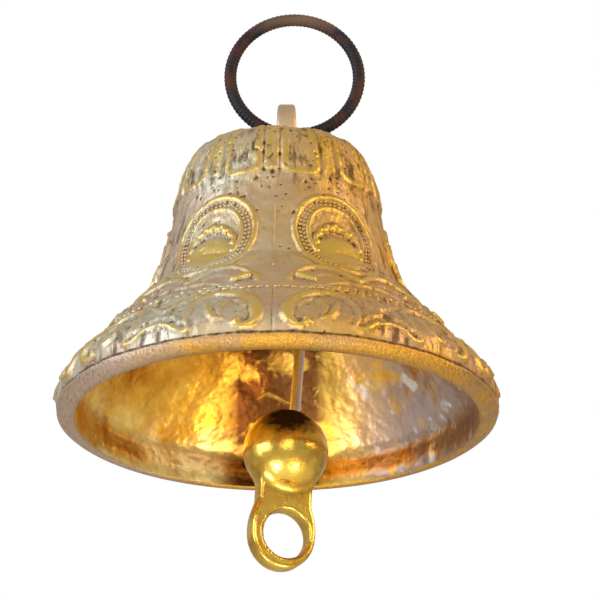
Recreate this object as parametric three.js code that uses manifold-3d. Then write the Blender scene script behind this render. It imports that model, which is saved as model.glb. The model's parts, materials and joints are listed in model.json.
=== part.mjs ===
// A cast brass bell that hangs from a steel ring and is rung by a clapper with a pull loop.
// Millimetres, +Z up. The origin is the point inside the top of the hanging ring where a hook bears.
// Inside the bell's own group, heights are counted up from the widest circle of the lip.
import * as THREE from "three";
import { mergeVertices } from "three/addons/utils/BufferGeometryUtils.js";
import Module from "manifold-3d";

// Clearances
const TOUCH_GAP = 0.3; // between two pieces that touch or are screwed together
const SWING_GAP = 0.3; // left between a bar and what swings on it, at the tightest place

// Hanging ring
const RING_WIRE = 4.0; // diameter of the wire
const RING_RADIUS = 19.7; // to the middle of the wire
const RING_SHIFT = 2.5; // the ring lies with its middle this far to the right of the crown loop

// Bell shell: each size is a radius or a height above the lip's widest circle
const MOUTH_RADIUS = 65;
const BELL_HEIGHT = 85;
const WALL = 4.0;
const LIP_BAND = 3.0; // upright band above the widest circle
const LIP_DROP = 2.4; // the rim's flat lies this far below the widest circle
const RIM_INNER_RADIUS = 59;
const RIM_FLAT = 2.0; // width of the flat that the bell would stand on
const BEAD_ROW_RADIUS = 55.9;
const BEAD_ROW_HEIGHT = 17;
const FLARE_TOP_RADIUS = 38.4;
const FLARE_TOP_HEIGHT = 37;
const WAIST_RADIUS = 32.8;
const WAIST_BELOW_CROWN = 26;
const SHOULDER_RADIUS = 30.5;
const SHOULDER_BELOW_CROWN = 14;
const CROWN_EDGE_RADIUS = 19.5;
const CROWN_EDGE_DROP = 0.1;
const CROWN_FLAT_RADIUS = 12;
const CURVE_HANDLE = 0.33; // share of a stretch's length, for the easy curves of the outline
const SHOULDER_HANDLE = 0.42; // and for the rounder shoulder
const STEM_OFFSET = 2.5; // the shell was drilled off centre: the stem is this far right of its axis

// Crown loop: a lug with a hole for the ring, a round flange and a threaded stem
const LOOP_WIDTH_TOP = 5.1; // across the lug, along the ring's wire
const LOOP_WIDTH_BASE = 6.4;
const LOOP_HOLE_WIDTH = 8.0;
const LOOP_HOLE_HEIGHT = 7.9;
const LOOP_TOP_BAR = 6.3;
const LOOP_SIDE_BAR = 4.6;
const FLANGE_RADIUS = 10;
const FLANGE_THICKNESS = 1.5;
const STEM_RADIUS = 4.0;
const STEM_ENGAGEMENT = 5.0; // length of the stem inside the eye's boss

// Washer, nut and clapper eye on the stem, under the crown
const WASHER_RADIUS = 9;
const WASHER_THICKNESS = 1.6;
const NUT_ACROSS_FLATS = 13;
const NUT_HEIGHT = 6.5;
const BOSS_RADIUS = 6.5;
const BOSS_HEIGHT = 9;
const EYE_BAR = 3.6; // diameter of the eye's bar
const EYE_RADIUS = 5.3; // to the middle of the bar
const EYE_SUNK = 3.4; // how far the eye's top is sunk into the boss

// Clapper: hooked rod, ball and pull loop
const ROD_DIAMETER = 3.2;
const HOOK_INNER_RADIUS = 3.0;
const HOOK_END_ANGLE = 275; // degrees round the hook from the shank
const ROD_LEAN = 4.5; // degrees, of the straight length above the ball
const ROD_SEAT = 9; // length of rod inside the ball
const ROD_OFF_BALL = 2.6; // where the rod enters, beside the ball's middle
const BALL_RADIUS = 12.4;
const BALL_DROP = 11; // the ball's middle is this far below the lip's widest circle
const BALL_LEAN = 3; // degrees, of the ball's and pull loop's own axis
const PULL_TURN = 22; // degrees, the pull loop's flat face is turned from the front
const PULL_THICKNESS = 6;
const PULL_HOLE_HALF_WIDTH = 7;
const PULL_HOLE_HALF_HEIGHT = 7.2;
const PULL_SIDE_BAR = 2.7;
const PULL_BOTTOM_BAR = 3.2;
const PULL_HOLE_OFFSET = 0.8; // the hole is this far off the middle of the loop
const PULL_WEB = 5.8; // metal between the ball and the hole
const PULL_NECK_HALF_WIDTH = 8.7;
const PULL_EDGE = 0.6; // rounding of the loop's edges

// Mesh fineness
const SHELL_SIDES = 56;
const ROUND_SIDES = 28;
const WIRE_SIDES = 10;
const CURVE_STEPS = 5; // along each curved stretch of the bell's outline
const MERGE_DISTANCE = 1e-4;

// Places that follow from the sizes
const radians = THREE.MathUtils.degToRad;
const loopBase = BELL_HEIGHT + TOUCH_GAP;
const flangeTop = loopBase + FLANGE_THICKNESS;
const loopHoleTop = flangeTop + LOOP_HOLE_HEIGHT;
const wireRise = (x) => RING_RADIUS - Math.sqrt(RING_RADIUS ** 2 - x ** 2); // above the ring's lowest place
const ringLow = loopHoleTop - SWING_GAP - wireRise(RING_SHIFT + LOOP_WIDTH_BASE / 2) - RING_WIRE / 2;
const ringInner = RING_RADIUS - RING_WIRE / 2;
const bellDrop = ringInner + RING_RADIUS + ringLow;
const washerTop = BELL_HEIGHT - WALL - TOUCH_GAP;
const nutTop = washerTop - WASHER_THICKNESS - TOUCH_GAP;
const bossTop = nutTop - NUT_HEIGHT - TOUCH_GAP;
const bossBottom = bossTop - BOSS_HEIGHT;
const stemBottom = bossTop - STEM_ENGAGEMENT;
const eyeMiddle = bossBottom + EYE_SUNK - EYE_RADIUS - EYE_BAR / 2;
const pivotHeight = eyeMiddle - EYE_RADIUS;

// Steel and brass, each mesh with its own material
const steel = (color) => new THREE.MeshStandardMaterial({ color, metalness: 0.9, roughness: 0.45 });
const brass = (color, roughness) => new THREE.MeshStandardMaterial({ color, metalness: 0.95, roughness });

const wasm = await Module();
wasm.setup();

// A closed geometry as a solid that can be joined and cut.
function solid(geometry) {
  const bare = geometry.clone();
  bare.deleteAttribute("normal");
  bare.deleteAttribute("uv");
  const merged = mergeVertices(bare, MERGE_DISTANCE);
  const corners = [];
  for (let i = 0; i < merged.index.count; i += 3) {
    const [a, b, c] = [0, 1, 2].map((k) => merged.index.getX(i + k));
    if (a !== b && b !== c && c !== a) corners.push(a, b, c);
  }
  const mesh = new wasm.Mesh({
    numProp: 3,
    vertProperties: merged.attributes.position.array,
    triVerts: new Uint32Array(corners),
  });
  return new wasm.Manifold(mesh);
}

// A joined or cut solid back as a geometry.
function geometryOf(body) {
  const mesh = body.getMesh();
  const geometry = new THREE.BufferGeometry();
  geometry.setAttribute("position", new THREE.BufferAttribute(mesh.vertProperties, 3));
  geometry.setIndex(new THREE.BufferAttribute(mesh.triVerts, 1));
  geometry.computeVertexNormals();
  return geometry;
}

// A profile of [radius, height] points, turned about +Z.
function turned(points, sides) {
  const profile = points.map(([r, z]) => new THREE.Vector2(r, z));
  return new THREE.LatheGeometry(profile, sides).rotateX(Math.PI / 2);
}

// A round bar or disc between two heights, on the +Z axis.
function disc(radius, low, high, sides = ROUND_SIDES) {
  return turned([[0, low], [radius, low], [radius, high], [0, high]], sides);
}

// A washer or nut: a closed ring profile with the bore's clearance over the stem.
function collar(outerRadius, low, high, sides) {
  const bore = STEM_RADIUS + TOUCH_GAP;
  return turned([[bore, low], [outerRadius, low], [outerRadius, high], [bore, high], [bore, low]], sides);
}

// One smooth stretch of an outline between two knots, each with its direction of travel in degrees.
function stretch(path, from, to, roundness) {
  const handle = roundness * Math.hypot(to.r - from.r, to.z - from.z);
  path.bezierCurveTo(
    from.r + handle * Math.cos(radians(from.angle)),
    from.z + handle * Math.sin(radians(from.angle)),
    to.r - handle * Math.cos(radians(to.angle)),
    to.z - handle * Math.sin(radians(to.angle)),
    to.r,
    to.z,
  );
}

// The bell's outside from the widest circle of the lip to the edge of the crown.
function bellOutline() {
  const knots = {
    band: { r: MOUTH_RADIUS, z: LIP_BAND, angle: 90 },
    beads: { r: BEAD_ROW_RADIUS, z: BEAD_ROW_HEIGHT, angle: 131 },
    flareTop: { r: FLARE_TOP_RADIUS, z: FLARE_TOP_HEIGHT, angle: 134 },
    waistFoot: { r: FLARE_TOP_RADIUS, z: FLARE_TOP_HEIGHT, angle: 107 },
    waist: { r: WAIST_RADIUS, z: BELL_HEIGHT - WAIST_BELOW_CROWN, angle: 100 },
    shoulder: { r: SHOULDER_RADIUS, z: BELL_HEIGHT - SHOULDER_BELOW_CROWN, angle: 103 },
    crown: { r: CROWN_EDGE_RADIUS, z: BELL_HEIGHT - CROWN_EDGE_DROP, angle: 172 },
  };
  const path = new THREE.Path();
  path.moveTo(knots.band.r, knots.band.z);
  stretch(path, knots.band, knots.beads, CURVE_HANDLE);
  stretch(path, knots.beads, knots.flareTop, CURVE_HANDLE);
  stretch(path, knots.waistFoot, knots.waist, CURVE_HANDLE);
  stretch(path, knots.waist, knots.shoulder, CURVE_HANDLE);
  stretch(path, knots.shoulder, knots.crown, SHOULDER_HANDLE);
  return path.getPoints(CURVE_STEPS).map((p) => [p.x, p.y]);
}

// The inside of the wall: the outline moved in by the wall, above the thick part of the lip.
function innerOutline(outline) {
  const inside = [];
  for (let i = 1; i < outline.length - 1; i += 1) {
    const [before, here, after] = [outline[i - 1], outline[i], outline[i + 1]];
    const [dr, dz] = [after[0] - before[0], after[1] - before[1]];
    const length = Math.hypot(dr, dz);
    const r = here[0] - (WALL * dz) / length;
    const z = here[1] + (WALL * dr) / length;
    const last = inside.length ? inside[inside.length - 1] : [RIM_INNER_RADIUS, LIP_BAND];
    const rises = r < last[0] - 0.2 && z > last[1] + 0.2;
    if (rises && z < BELL_HEIGHT - WALL - 0.5) inside.push([r, z]);
  }
  return inside;
}

function bellShell() {
  const outline = bellOutline();
  const underCrown = BELL_HEIGHT - WALL;
  const profile = [
    [0, underCrown],
    [CROWN_FLAT_RADIUS, underCrown],
    ...innerOutline(outline).reverse(),
    [RIM_INNER_RADIUS, -LIP_DROP],
    [RIM_INNER_RADIUS + RIM_FLAT, -LIP_DROP],
    [MOUTH_RADIUS, 0],
    ...outline,
    [CROWN_FLAT_RADIUS, BELL_HEIGHT],
    [0, BELL_HEIGHT],
  ];
  const shell = turned(profile, SHELL_SIDES).translate(-STEM_OFFSET, 0, 0);
  const bore = disc(STEM_RADIUS + TOUCH_GAP, underCrown - 1, BELL_HEIGHT + 1);
  return geometryOf(solid(shell).subtract(solid(bore)));
}

// The lug stands across the ring's wire, narrows upwards and joins the flange and the stem.
function crownLoop() {
  const holeRadius = LOOP_HOLE_WIDTH / 2;
  const archHeight = loopHoleTop - holeRadius;
  const outerHalf = holeRadius + LOOP_SIDE_BAR;
  const footSunk = FLANGE_THICKNESS / 2;
  const lug = new THREE.Shape();
  lug.moveTo(-outerHalf, flangeTop - footSunk);
  lug.lineTo(outerHalf, flangeTop - footSunk);
  lug.lineTo(outerHalf, archHeight);
  lug.absellipse(0, archHeight, outerHalf, holeRadius + LOOP_TOP_BAR, 0, Math.PI, false);
  lug.closePath();
  const hole = new THREE.Path();
  hole.moveTo(-holeRadius, flangeTop);
  hole.lineTo(-holeRadius, archHeight);
  hole.absarc(0, archHeight, holeRadius, Math.PI, 0, true);
  hole.lineTo(holeRadius, flangeTop);
  hole.closePath();
  lug.holes.push(hole);
  const plate = new THREE.ExtrudeGeometry(lug, { depth: 1, bevelEnabled: false, curveSegments: 14 });
  plate.translate(0, 0, -0.5);
  const position = plate.getAttribute("position");
  const loopTop = loopHoleTop + LOOP_TOP_BAR;
  for (let i = 0; i < position.count; i += 1) {
    const up = (position.getY(i) - flangeTop) / (loopTop - flangeTop);
    const width = THREE.MathUtils.lerp(LOOP_WIDTH_BASE, LOOP_WIDTH_TOP, THREE.MathUtils.clamp(up, 0, 1));
    position.setZ(i, position.getZ(i) * width);
  }
  const acrossX = new THREE.Matrix4().makeBasis(
    new THREE.Vector3(0, 1, 0),
    new THREE.Vector3(0, 0, 1),
    new THREE.Vector3(1, 0, 0),
  );
  plate.applyMatrix4(acrossX);
  const flange = disc(FLANGE_RADIUS, loopBase, flangeTop);
  const stem = disc(STEM_RADIUS, stemBottom, loopBase + footSunk);
  return geometryOf(solid(plate).add(solid(flange)).add(solid(stem)));
}

// The eye nut: a boss with a blind hole for the stem, and a round eye below it across the rod's hook.
function clapperEye() {
  const bore = STEM_RADIUS + TOUCH_GAP;
  const boreBottom = stemBottom - TOUCH_GAP;
  const boss = turned(
    [
      [0, bossBottom],
      [BOSS_RADIUS, bossBottom],
      [BOSS_RADIUS, bossTop],
      [bore, bossTop],
      [bore, boreBottom],
      [0, boreBottom],
    ],
    ROUND_SIDES,
  );
  const eye = new THREE.TorusGeometry(EYE_RADIUS, EYE_BAR / 2, WIRE_SIDES, ROUND_SIDES);
  eye.rotateY(Math.PI / 2).translate(0, 0, eyeMiddle);
  return geometryOf(solid(boss).add(solid(eye)));
}

// The rod's middle line: where the shank under the hook is, and the leaning length above the ball.
const hookRadius = HOOK_INNER_RADIUS + ROD_DIAMETER / 2;
const eyeRise = EYE_RADIUS - Math.sqrt(EYE_RADIUS ** 2 - (ROD_DIAMETER / 2) ** 2);
const hookMiddle = pivotHeight + EYE_BAR / 2 + eyeRise + SWING_GAP - HOOK_INNER_RADIUS;
const ballTop = BALL_RADIUS - BALL_DROP;
const rodSlope = Math.tan(radians(ROD_LEAN));
const bendHeight = ballTop + (hookRadius - ROD_OFF_BALL) / rodSlope;
const rodEnd = ballTop - ROD_SEAT;
const rodX = (height) => ROD_OFF_BALL + rodSlope * (height - ballTop);

function clapperRod() {
  const points = [rodEnd, ballTop, (ballTop + bendHeight) / 2, bendHeight - 4].map(
    (z) => new THREE.Vector3(rodX(z), 0, z),
  );
  points.push(new THREE.Vector3(hookRadius, 0, bendHeight + 4));
  for (let angle = 0; angle <= HOOK_END_ANGLE; angle += HOOK_END_ANGLE / 11) {
    const turn = radians(angle);
    points.push(new THREE.Vector3(hookRadius * Math.cos(turn), 0, hookMiddle + hookRadius * Math.sin(turn)));
  }
  const section = new THREE.Shape().absarc(0, 0, ROD_DIAMETER / 2, 0, 2 * Math.PI, false);
  return new THREE.ExtrudeGeometry(section, {
    steps: 44,
    curveSegments: WIRE_SIDES,
    extrudePath: new THREE.CatmullRomCurve3(points, false, "centripetal"),
  });
}

// The pull loop's flat outline below the ball, with the ball's middle as its zero.
function pullLoopPlate() {
  const holeTop = -BALL_RADIUS - PULL_WEB;
  const holeMiddle = holeTop - PULL_HOLE_HALF_HEIGHT;
  const outerHalfWidth = PULL_HOLE_HALF_WIDTH + PULL_SIDE_BAR;
  const outerHalfHeight = PULL_HOLE_HALF_HEIGHT + PULL_BOTTOM_BAR;
  const neckHeight = -BALL_RADIUS * 0.8;
  const plate = new THREE.Shape();
  plate.moveTo(-PULL_NECK_HALF_WIDTH, neckHeight);
  plate.lineTo(-PULL_NECK_HALF_WIDTH, holeTop);
  plate.quadraticCurveTo(-outerHalfWidth, (holeTop + holeMiddle) / 2, -outerHalfWidth, holeMiddle);
  plate.absellipse(0, holeMiddle, outerHalfWidth, outerHalfHeight, Math.PI, 2 * Math.PI, false);
  plate.quadraticCurveTo(outerHalfWidth, (holeTop + holeMiddle) / 2, PULL_NECK_HALF_WIDTH, holeTop);
  plate.lineTo(PULL_NECK_HALF_WIDTH, neckHeight);
  plate.closePath();
  const hole = new THREE.Path();
  hole.absellipse(PULL_HOLE_OFFSET, holeMiddle, PULL_HOLE_HALF_WIDTH, PULL_HOLE_HALF_HEIGHT, 0, 2 * Math.PI, true);
  plate.holes.push(hole);
  const geometry = new THREE.ExtrudeGeometry(plate, {
    depth: PULL_THICKNESS - 2 * PULL_EDGE,
    curveSegments: 12,
    bevelThickness: PULL_EDGE,
    bevelSize: PULL_EDGE,
    bevelOffset: -PULL_EDGE,
    bevelSegments: 1,
  });
  geometry.translate(0, 0, PULL_EDGE - PULL_THICKNESS / 2);
  return geometry.rotateX(Math.PI / 2).rotateZ(radians(PULL_TURN));
}

// Ball and pull loop are one casting, drilled for the rod where the rod enters.
function clapperBall() {
  const ball = new THREE.SphereGeometry(BALL_RADIUS, ROUND_SIDES, 18);
  const casting = geometryOf(solid(ball).add(solid(pullLoopPlate())));
  casting.rotateY(radians(BALL_LEAN)).translate(0, 0, -BALL_DROP);
  const boreLength = ROD_SEAT + TOUCH_GAP + BALL_RADIUS;
  const bore = new THREE.CylinderGeometry(
    ROD_DIAMETER / 2 + TOUCH_GAP,
    ROD_DIAMETER / 2 + TOUCH_GAP,
    boreLength,
    WIRE_SIDES,
  );
  bore.rotateX(Math.PI / 2).translate(0, 0, boreLength / 2);
  bore.rotateY(radians(ROD_LEAN)).translate(rodX(rodEnd - TOUCH_GAP), 0, rodEnd - TOUCH_GAP);
  return geometryOf(solid(casting).subtract(solid(bore)));
}

function named(name, geometry, material) {
  const mesh = new THREE.Mesh(geometry, material);
  mesh.name = name;
  return mesh;
}

const thing = new THREE.Group();
const ring = new THREE.TorusGeometry(RING_RADIUS, RING_WIRE / 2, WIRE_SIDES, SHELL_SIDES).rotateX(Math.PI / 2);
const hangingRing = named("hanging_ring", ring, steel(0x4a464a));
hangingRing.position.z = -ringInner;
thing.add(hangingRing);

const bell = new THREE.Group();
bell.position.set(-RING_SHIFT, 0, -bellDrop);
bell.add(named("bell_shell", bellShell(), brass(0xb5986a, 0.5)));
bell.add(named("crown_loop", crownLoop(), brass(0xb59a6e, 0.5)));
bell.add(
  named(
    "crown_washer",
    collar(WASHER_RADIUS, washerTop - WASHER_THICKNESS, washerTop, ROUND_SIDES),
    steel(0x8a8a8c),
  ),
);
const nutCorner = NUT_ACROSS_FLATS / 2 / Math.cos(Math.PI / 6);
const nutBody = turned([[0, nutTop - NUT_HEIGHT], [nutCorner, nutTop - NUT_HEIGHT], [nutCorner, nutTop], [0, nutTop]], 6);
const nutBore = disc(STEM_RADIUS + TOUCH_GAP, nutTop - NUT_HEIGHT - 1, nutTop + 1);
bell.add(named("crown_nut", geometryOf(solid(nutBody).subtract(solid(nutBore))), steel(0x8a8a8c)));
bell.add(named("clapper_eye", clapperEye(), steel(0x77777a)));
bell.add(named("clapper_rod", clapperRod(), steel(0x9a8d8c)));
bell.add(named("clapper_ball", clapperBall(), brass(0xd0a040, 0.2)));
thing.add(bell);

export default thing;
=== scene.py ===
"""A cast brass bell on a ribbed steel ring, with a pull clapper: its finished look round the frame.

Sizes in the classes are millimetres, and every mesh is in metres in the frame's own axes.
"""

import json
import logging
import math
from dataclasses import dataclass
from enum import Enum

import bmesh
import bpy
import numpy as np
from mathutils import Matrix, Vector


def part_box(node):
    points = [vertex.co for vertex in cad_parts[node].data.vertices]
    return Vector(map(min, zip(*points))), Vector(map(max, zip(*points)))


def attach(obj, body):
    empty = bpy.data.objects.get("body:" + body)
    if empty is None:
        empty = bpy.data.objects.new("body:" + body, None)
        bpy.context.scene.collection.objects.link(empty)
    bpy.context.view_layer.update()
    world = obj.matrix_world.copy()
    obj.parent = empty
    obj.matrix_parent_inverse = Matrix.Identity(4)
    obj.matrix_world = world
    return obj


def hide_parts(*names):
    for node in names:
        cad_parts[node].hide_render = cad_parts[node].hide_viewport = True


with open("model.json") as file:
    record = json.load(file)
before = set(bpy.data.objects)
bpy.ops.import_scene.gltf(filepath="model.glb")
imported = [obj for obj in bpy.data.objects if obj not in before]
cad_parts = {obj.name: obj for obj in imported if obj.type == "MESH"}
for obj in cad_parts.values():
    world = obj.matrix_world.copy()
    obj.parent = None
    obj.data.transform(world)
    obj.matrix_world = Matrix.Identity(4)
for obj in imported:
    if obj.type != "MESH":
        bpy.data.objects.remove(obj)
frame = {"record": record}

BMesh, BMEdge, BMVert = bmesh.types.BMesh, bmesh.types.BMEdge, bmesh.types.BMVert
Material = bpy.types.Material
Piece = bpy.types.Object
Socket = bpy.types.NodeSocket

LOG = logging.getLogger("bell")
MM = 0.001
FULL_TURN = 2 * math.pi
WELD = 1e-6  # vertices closer than this many metres are made one
SEED = 7
X_AXIS, Y_AXIS, Z_AXIS = (Vector(axis) for axis in ((1, 0, 0), (0, 1, 0), (0, 0, 1)))


# ---------------------------------------------------------------- small helpers


def linear(hex_colour: str) -> tuple[float, float, float, float]:
    """Turns an sRGB colour into a linear one.

    Args:
        hex_colour: a colour such as "#b39a6e".

    Returns:
        Red, green, blue and an alpha of one, in linear light.
    """
    parts = [int(hex_colour[i : i + 2], 16) / 255 for i in (1, 3, 5)]
    red, green, blue = (v / 12.92 if v <= 0.04045 else ((v + 0.055) / 1.055) ** 2.4 for v in parts)
    return (red, green, blue, 1.0)


def feed(node: bpy.types.Node, inputs: dict) -> None:
    """Sets or links the inputs of a node.

    Args:
        node: the node.
        inputs: socket name or number to a value, or to the output socket that feeds it.
    """
    for socket, value in inputs.items():
        if isinstance(value, Socket):
            node.id_data.links.new(value, node.inputs[socket])
        else:
            node.inputs[socket].default_value = value


def add_node(
    tree: bpy.types.NodeTree, kind: str, inputs: dict | None = None, **settings: object
) -> bpy.types.Node:
    """Adds a shader node with its settings, values and links.

    Args:
        tree: the node tree.
        kind: the node's type without its "ShaderNode", such as "TexNoise".
        inputs: socket name or number to a value, or to the output socket that feeds it.
        settings: properties of the node itself.

    Returns:
        The new node.
    """
    made = tree.nodes.new("ShaderNode" + kind)
    for name, value in settings.items():
        setattr(made, name, value)
    feed(made, inputs or {})
    return made


def spline(points: list[tuple[float, ...]], steps: int) -> np.ndarray:
    """Runs a smooth curve through given points.

    Args:
        points: the points, each with the same number of values.
        steps: samples between two neighbouring points.

    Returns:
        The samples as rows, the end points among them.
    """
    knots = np.array([points[0], *points, points[-1]], float)
    t = np.linspace(0, 1, steps, endpoint=False)[:, None]
    runs = []
    for a, b, c, d in zip(knots, knots[1:], knots[2:], knots[3:]):
        curl, twist = 2 * a - 5 * b + 4 * c - d, 3 * b - a - 3 * c + d
        runs.append(0.5 * (2 * b + (c - a) * t + curl * t**2 + twist * t**3))
    return np.vstack([*runs, knots[-1:]])


def object_from(bm: BMesh, name: str, materials: list[Material], smooth: bool = True) -> Piece:
    """Turns a bmesh into an object in the scene.

    Args:
        bm: the finished bmesh, which is freed.
        name: the piece's name.
        materials: its material slots.
        smooth: shade the faces smooth.

    Returns:
        The new object.
    """
    mesh = bpy.data.meshes.new(name)
    for face in bm.faces:
        face.smooth = smooth
    bm.to_mesh(mesh)
    bm.free()
    return placed(mesh, name, materials)


def placed(mesh: bpy.types.Mesh, name: str, materials: list[Material]) -> Piece:
    """Puts a finished mesh in the scene as an object.

    Args:
        mesh: the mesh.
        name: the piece's name.
        materials: its material slots.

    Returns:
        The new object.
    """
    mesh.name = name
    for material in materials:
        mesh.materials.append(material)
    made = bpy.data.objects.new(name, mesh)
    bpy.context.scene.collection.objects.link(made)
    return made


def smooth_mesh(maker: Piece, source: Piece) -> bpy.types.Mesh:
    """Takes the mesh that a curve or a modifier makes, and removes its maker.

    Args:
        maker: the object that makes the mesh.
        source: the maker itself, or its evaluated copy where it has modifiers.

    Returns:
        The mesh, shaded smooth and without materials.
    """
    mesh = bpy.data.meshes.new_from_object(source)
    bpy.data.objects.remove(maker)
    mesh.materials.clear()
    mesh.polygons.foreach_set("use_smooth", [True] * len(mesh.polygons))
    return mesh


def wire(bm: BMesh, points: list[Vector], closed: bool = False) -> list:
    """Adds a string of vertices joined by edges.

    Args:
        bm: the bmesh to add to.
        points: the places of the vertices.
        closed: join the last to the first.

    Returns:
        The new vertices and edges, ready for a spin.
    """
    verts = [bm.verts.new(p) for p in points]
    pairs = list(zip(verts, verts[1:]))
    if closed:
        pairs.append((verts[-1], verts[0]))
    return verts + [bm.edges.new(pair) for pair in pairs]


def only(kind: type, geometry: list) -> list:
    """Returns the vertices or the edges among a mix of both."""
    return [part for part in geometry if isinstance(part, kind)]


def spun(points: list[Vector], steps: int, closed: bool, centre: Vector, axis: Vector) -> BMesh:
    """Spins a profile into a full turn.

    Args:
        points: the profile.
        steps: sections in the full turn.
        closed: the profile is a closed loop; if not, its ends lie on the axis.
        centre: a point on the axis.
        axis: the axis of the turn.

    Returns:
        A closed bmesh whose faces point outwards.
    """
    bm = bmesh.new()
    geometry = wire(bm, points, closed)
    bmesh.ops.spin(bm, geom=geometry, cent=centre, axis=axis, angle=FULL_TURN, steps=steps, use_merge=True)
    bmesh.ops.remove_doubles(bm, verts=bm.verts, dist=WELD / 10)
    bmesh.ops.recalc_face_normals(bm, faces=bm.faces)
    return bm


def waves(places: np.ndarray, size: float, seed: int = 0) -> np.ndarray:
    """Returns a smooth uneven number of about -1 to 1 at each place.

    Args:
        places: points in metres, as rows.
        size: how far apart the highs are, in millimetres.
        seed: picks another pattern.

    Returns:
        One number for each place.
    """
    dice = np.random.default_rng(SEED + seed)
    total = np.zeros(len(places))
    for _ in range(12):
        way = dice.normal(size=3)
        way *= FULL_TURN / (size * MM * np.linalg.norm(way)) * dice.uniform(0.7, 1.4)
        total += np.sin(places @ way + dice.uniform(0, FULL_TURN))
    return total / 3.5


def store_wear(piece: Piece, relief: np.ndarray | float, hollow: np.ndarray | float = 0.0) -> None:
    """Stores the two numbers that the cast brass reads at each vertex.

    Args:
        piece: the piece.
        relief: how far it stands out to be rubbed bright, from 0 to 1, for all vertices or for each.
        hollow: how far it lies where dirt is held, from 0 to 1.
    """
    mesh = piece.data
    for name, values in (("relief", relief), ("hollow", hollow)):
        filled = np.broadcast_to(np.asarray(values, np.float32), len(mesh.vertices))
        mesh.attributes.new(name, "FLOAT", "POINT").data.foreach_set("value", np.ascontiguousarray(filled))


# ---------------------------------------------------------------- finishes


class Surface:
    """A material in the making: its node tree, and the steps that every finish is mixed from."""

    def __init__(self, name: str) -> None:
        """Starts a material.

        Args:
            name: the finish's name.
        """
        self.made = bpy.data.materials.new(name)
        self.made.use_nodes = True
        self.tree = self.made.node_tree
        self.place = self.add("TexCoord").outputs["Object"]

    def add(self, kind: str, inputs: dict | None = None, **settings: object) -> bpy.types.Node:
        """Adds a node to this material; see add_node."""
        return add_node(self.tree, kind, inputs, **settings)

    def along(self, axis: str) -> Socket:
        """Returns a point's place along the axis "X", "Y" or "Z"."""
        return self.add("SeparateXYZ", {"Vector": self.place}).outputs[axis]

    def stored(self, name: str) -> Socket:
        """Returns a number that the piece stores at each vertex."""
        return self.add("Attribute", attribute_name=name).outputs["Fac"]

    def drawn_out(self, scale: tuple[float, float, float], turn: float = 0.0) -> Socket:
        """Returns the place turned in degrees about the upright axis and scaled, to draw a pattern out."""
        inputs = {"Vector": self.place, "Rotation": (0.0, 0.0, math.radians(turn)), "Scale": scale}
        return self.add("Mapping", inputs).outputs[0]

    def noise(
        self, size: float, detail: float, roughness: float, twist: float = 0.0, place: Socket | None = None
    ) -> Socket:
        """Adds an uneven pattern.

        Args:
            size: about how far across its features are, in millimetres.
            detail: how many finer layers it has.
            roughness: how strong they are.
            twist: how far the pattern is warped, so that two of one size differ.
            place: the coordinates, if they aren't the piece's own.

        Returns:
            The pattern, mostly from 0.3 to 0.7.
        """
        inputs = {
            "Vector": self.place if place is None else place,
            "Scale": 1 / (size * MM),
            "Detail": detail,
            "Roughness": roughness,
            "Distortion": twist,
        }
        return self.add("TexNoise", inputs).outputs["Fac"]

    def combined(self, operation: str, *values: Socket | float) -> Socket:
        """Returns what a Math node makes of one or two numbers."""
        return self.add("Math", dict(enumerate(values)), operation=operation).outputs[0]

    def product(self, first: Socket, *others: Socket) -> Socket:
        """Returns the numbers multiplied together.

        Args:
            first: a number.
            others: the numbers to multiply it with, in order.

        Returns:
            Their product.
        """
        for other in others:
            first = self.combined("MULTIPLY", first, other)
        return first

    def aside_of(self, middle: float) -> Socket:
        """Returns how far a point lies to the left or right of `middle`."""
        return self.combined("ABSOLUTE", self.combined("SUBTRACT", self.along("X"), middle))

    def mapped(self, value: Socket, start: float, end: float, low: float = 0.0, high: float = 1.0) -> Socket:
        """Returns `start`..`end` mapped to `low`..`high` in a straight line, and clamped."""
        inputs = {"Value": value, "From Min": start, "From Max": end, "To Min": low, "To Max": high}
        return self.add("MapRange", inputs).outputs["Result"]

    def mixed(self, amount: Socket, base: Socket | str, over: Socket | str) -> Socket:
        """Lays one colour over another.

        Args:
            amount: how much of the upper one shows, from 0 to 1.
            base: the lower colour, as a socket or sRGB hex.
            over: the upper colour.

        Returns:
            The mix.
        """
        lower, upper = (linear(c) if isinstance(c, str) else c for c in (base, over))
        return self.add("Mix", {"Factor": amount, "A": lower, "B": upper}, data_type="RGBA").outputs["Result"]

    def bumped(self, height: Socket, strength: float, depth: float, over: Socket | None = None) -> Socket:
        """Turns a pattern into bumps.

        Args:
            height: the pattern.
            strength: how strong the bumps are, from 0 to 1.
            depth: how deep they are, in millimetres.
            over: coarser bumps that they lie on.

        Returns:
            The bumped normal.
        """
        inputs = {"Height": height, "Strength": strength, "Distance": depth * MM}
        if over is not None:
            inputs["Normal"] = over
        return self.add("Bump", inputs).outputs["Normal"]

    def finished(self, **inputs: Socket | float | tuple) -> Material:
        """Feeds the shader.

        Args:
            inputs: the shader's inputs as values or sockets, with "_" for a space in the name.

        Returns:
            The finished material.
        """
        feed(self.tree.nodes["Principled BSDF"], {name.replace("_", " "): v for name, v in inputs.items()})
        return self.made


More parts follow.
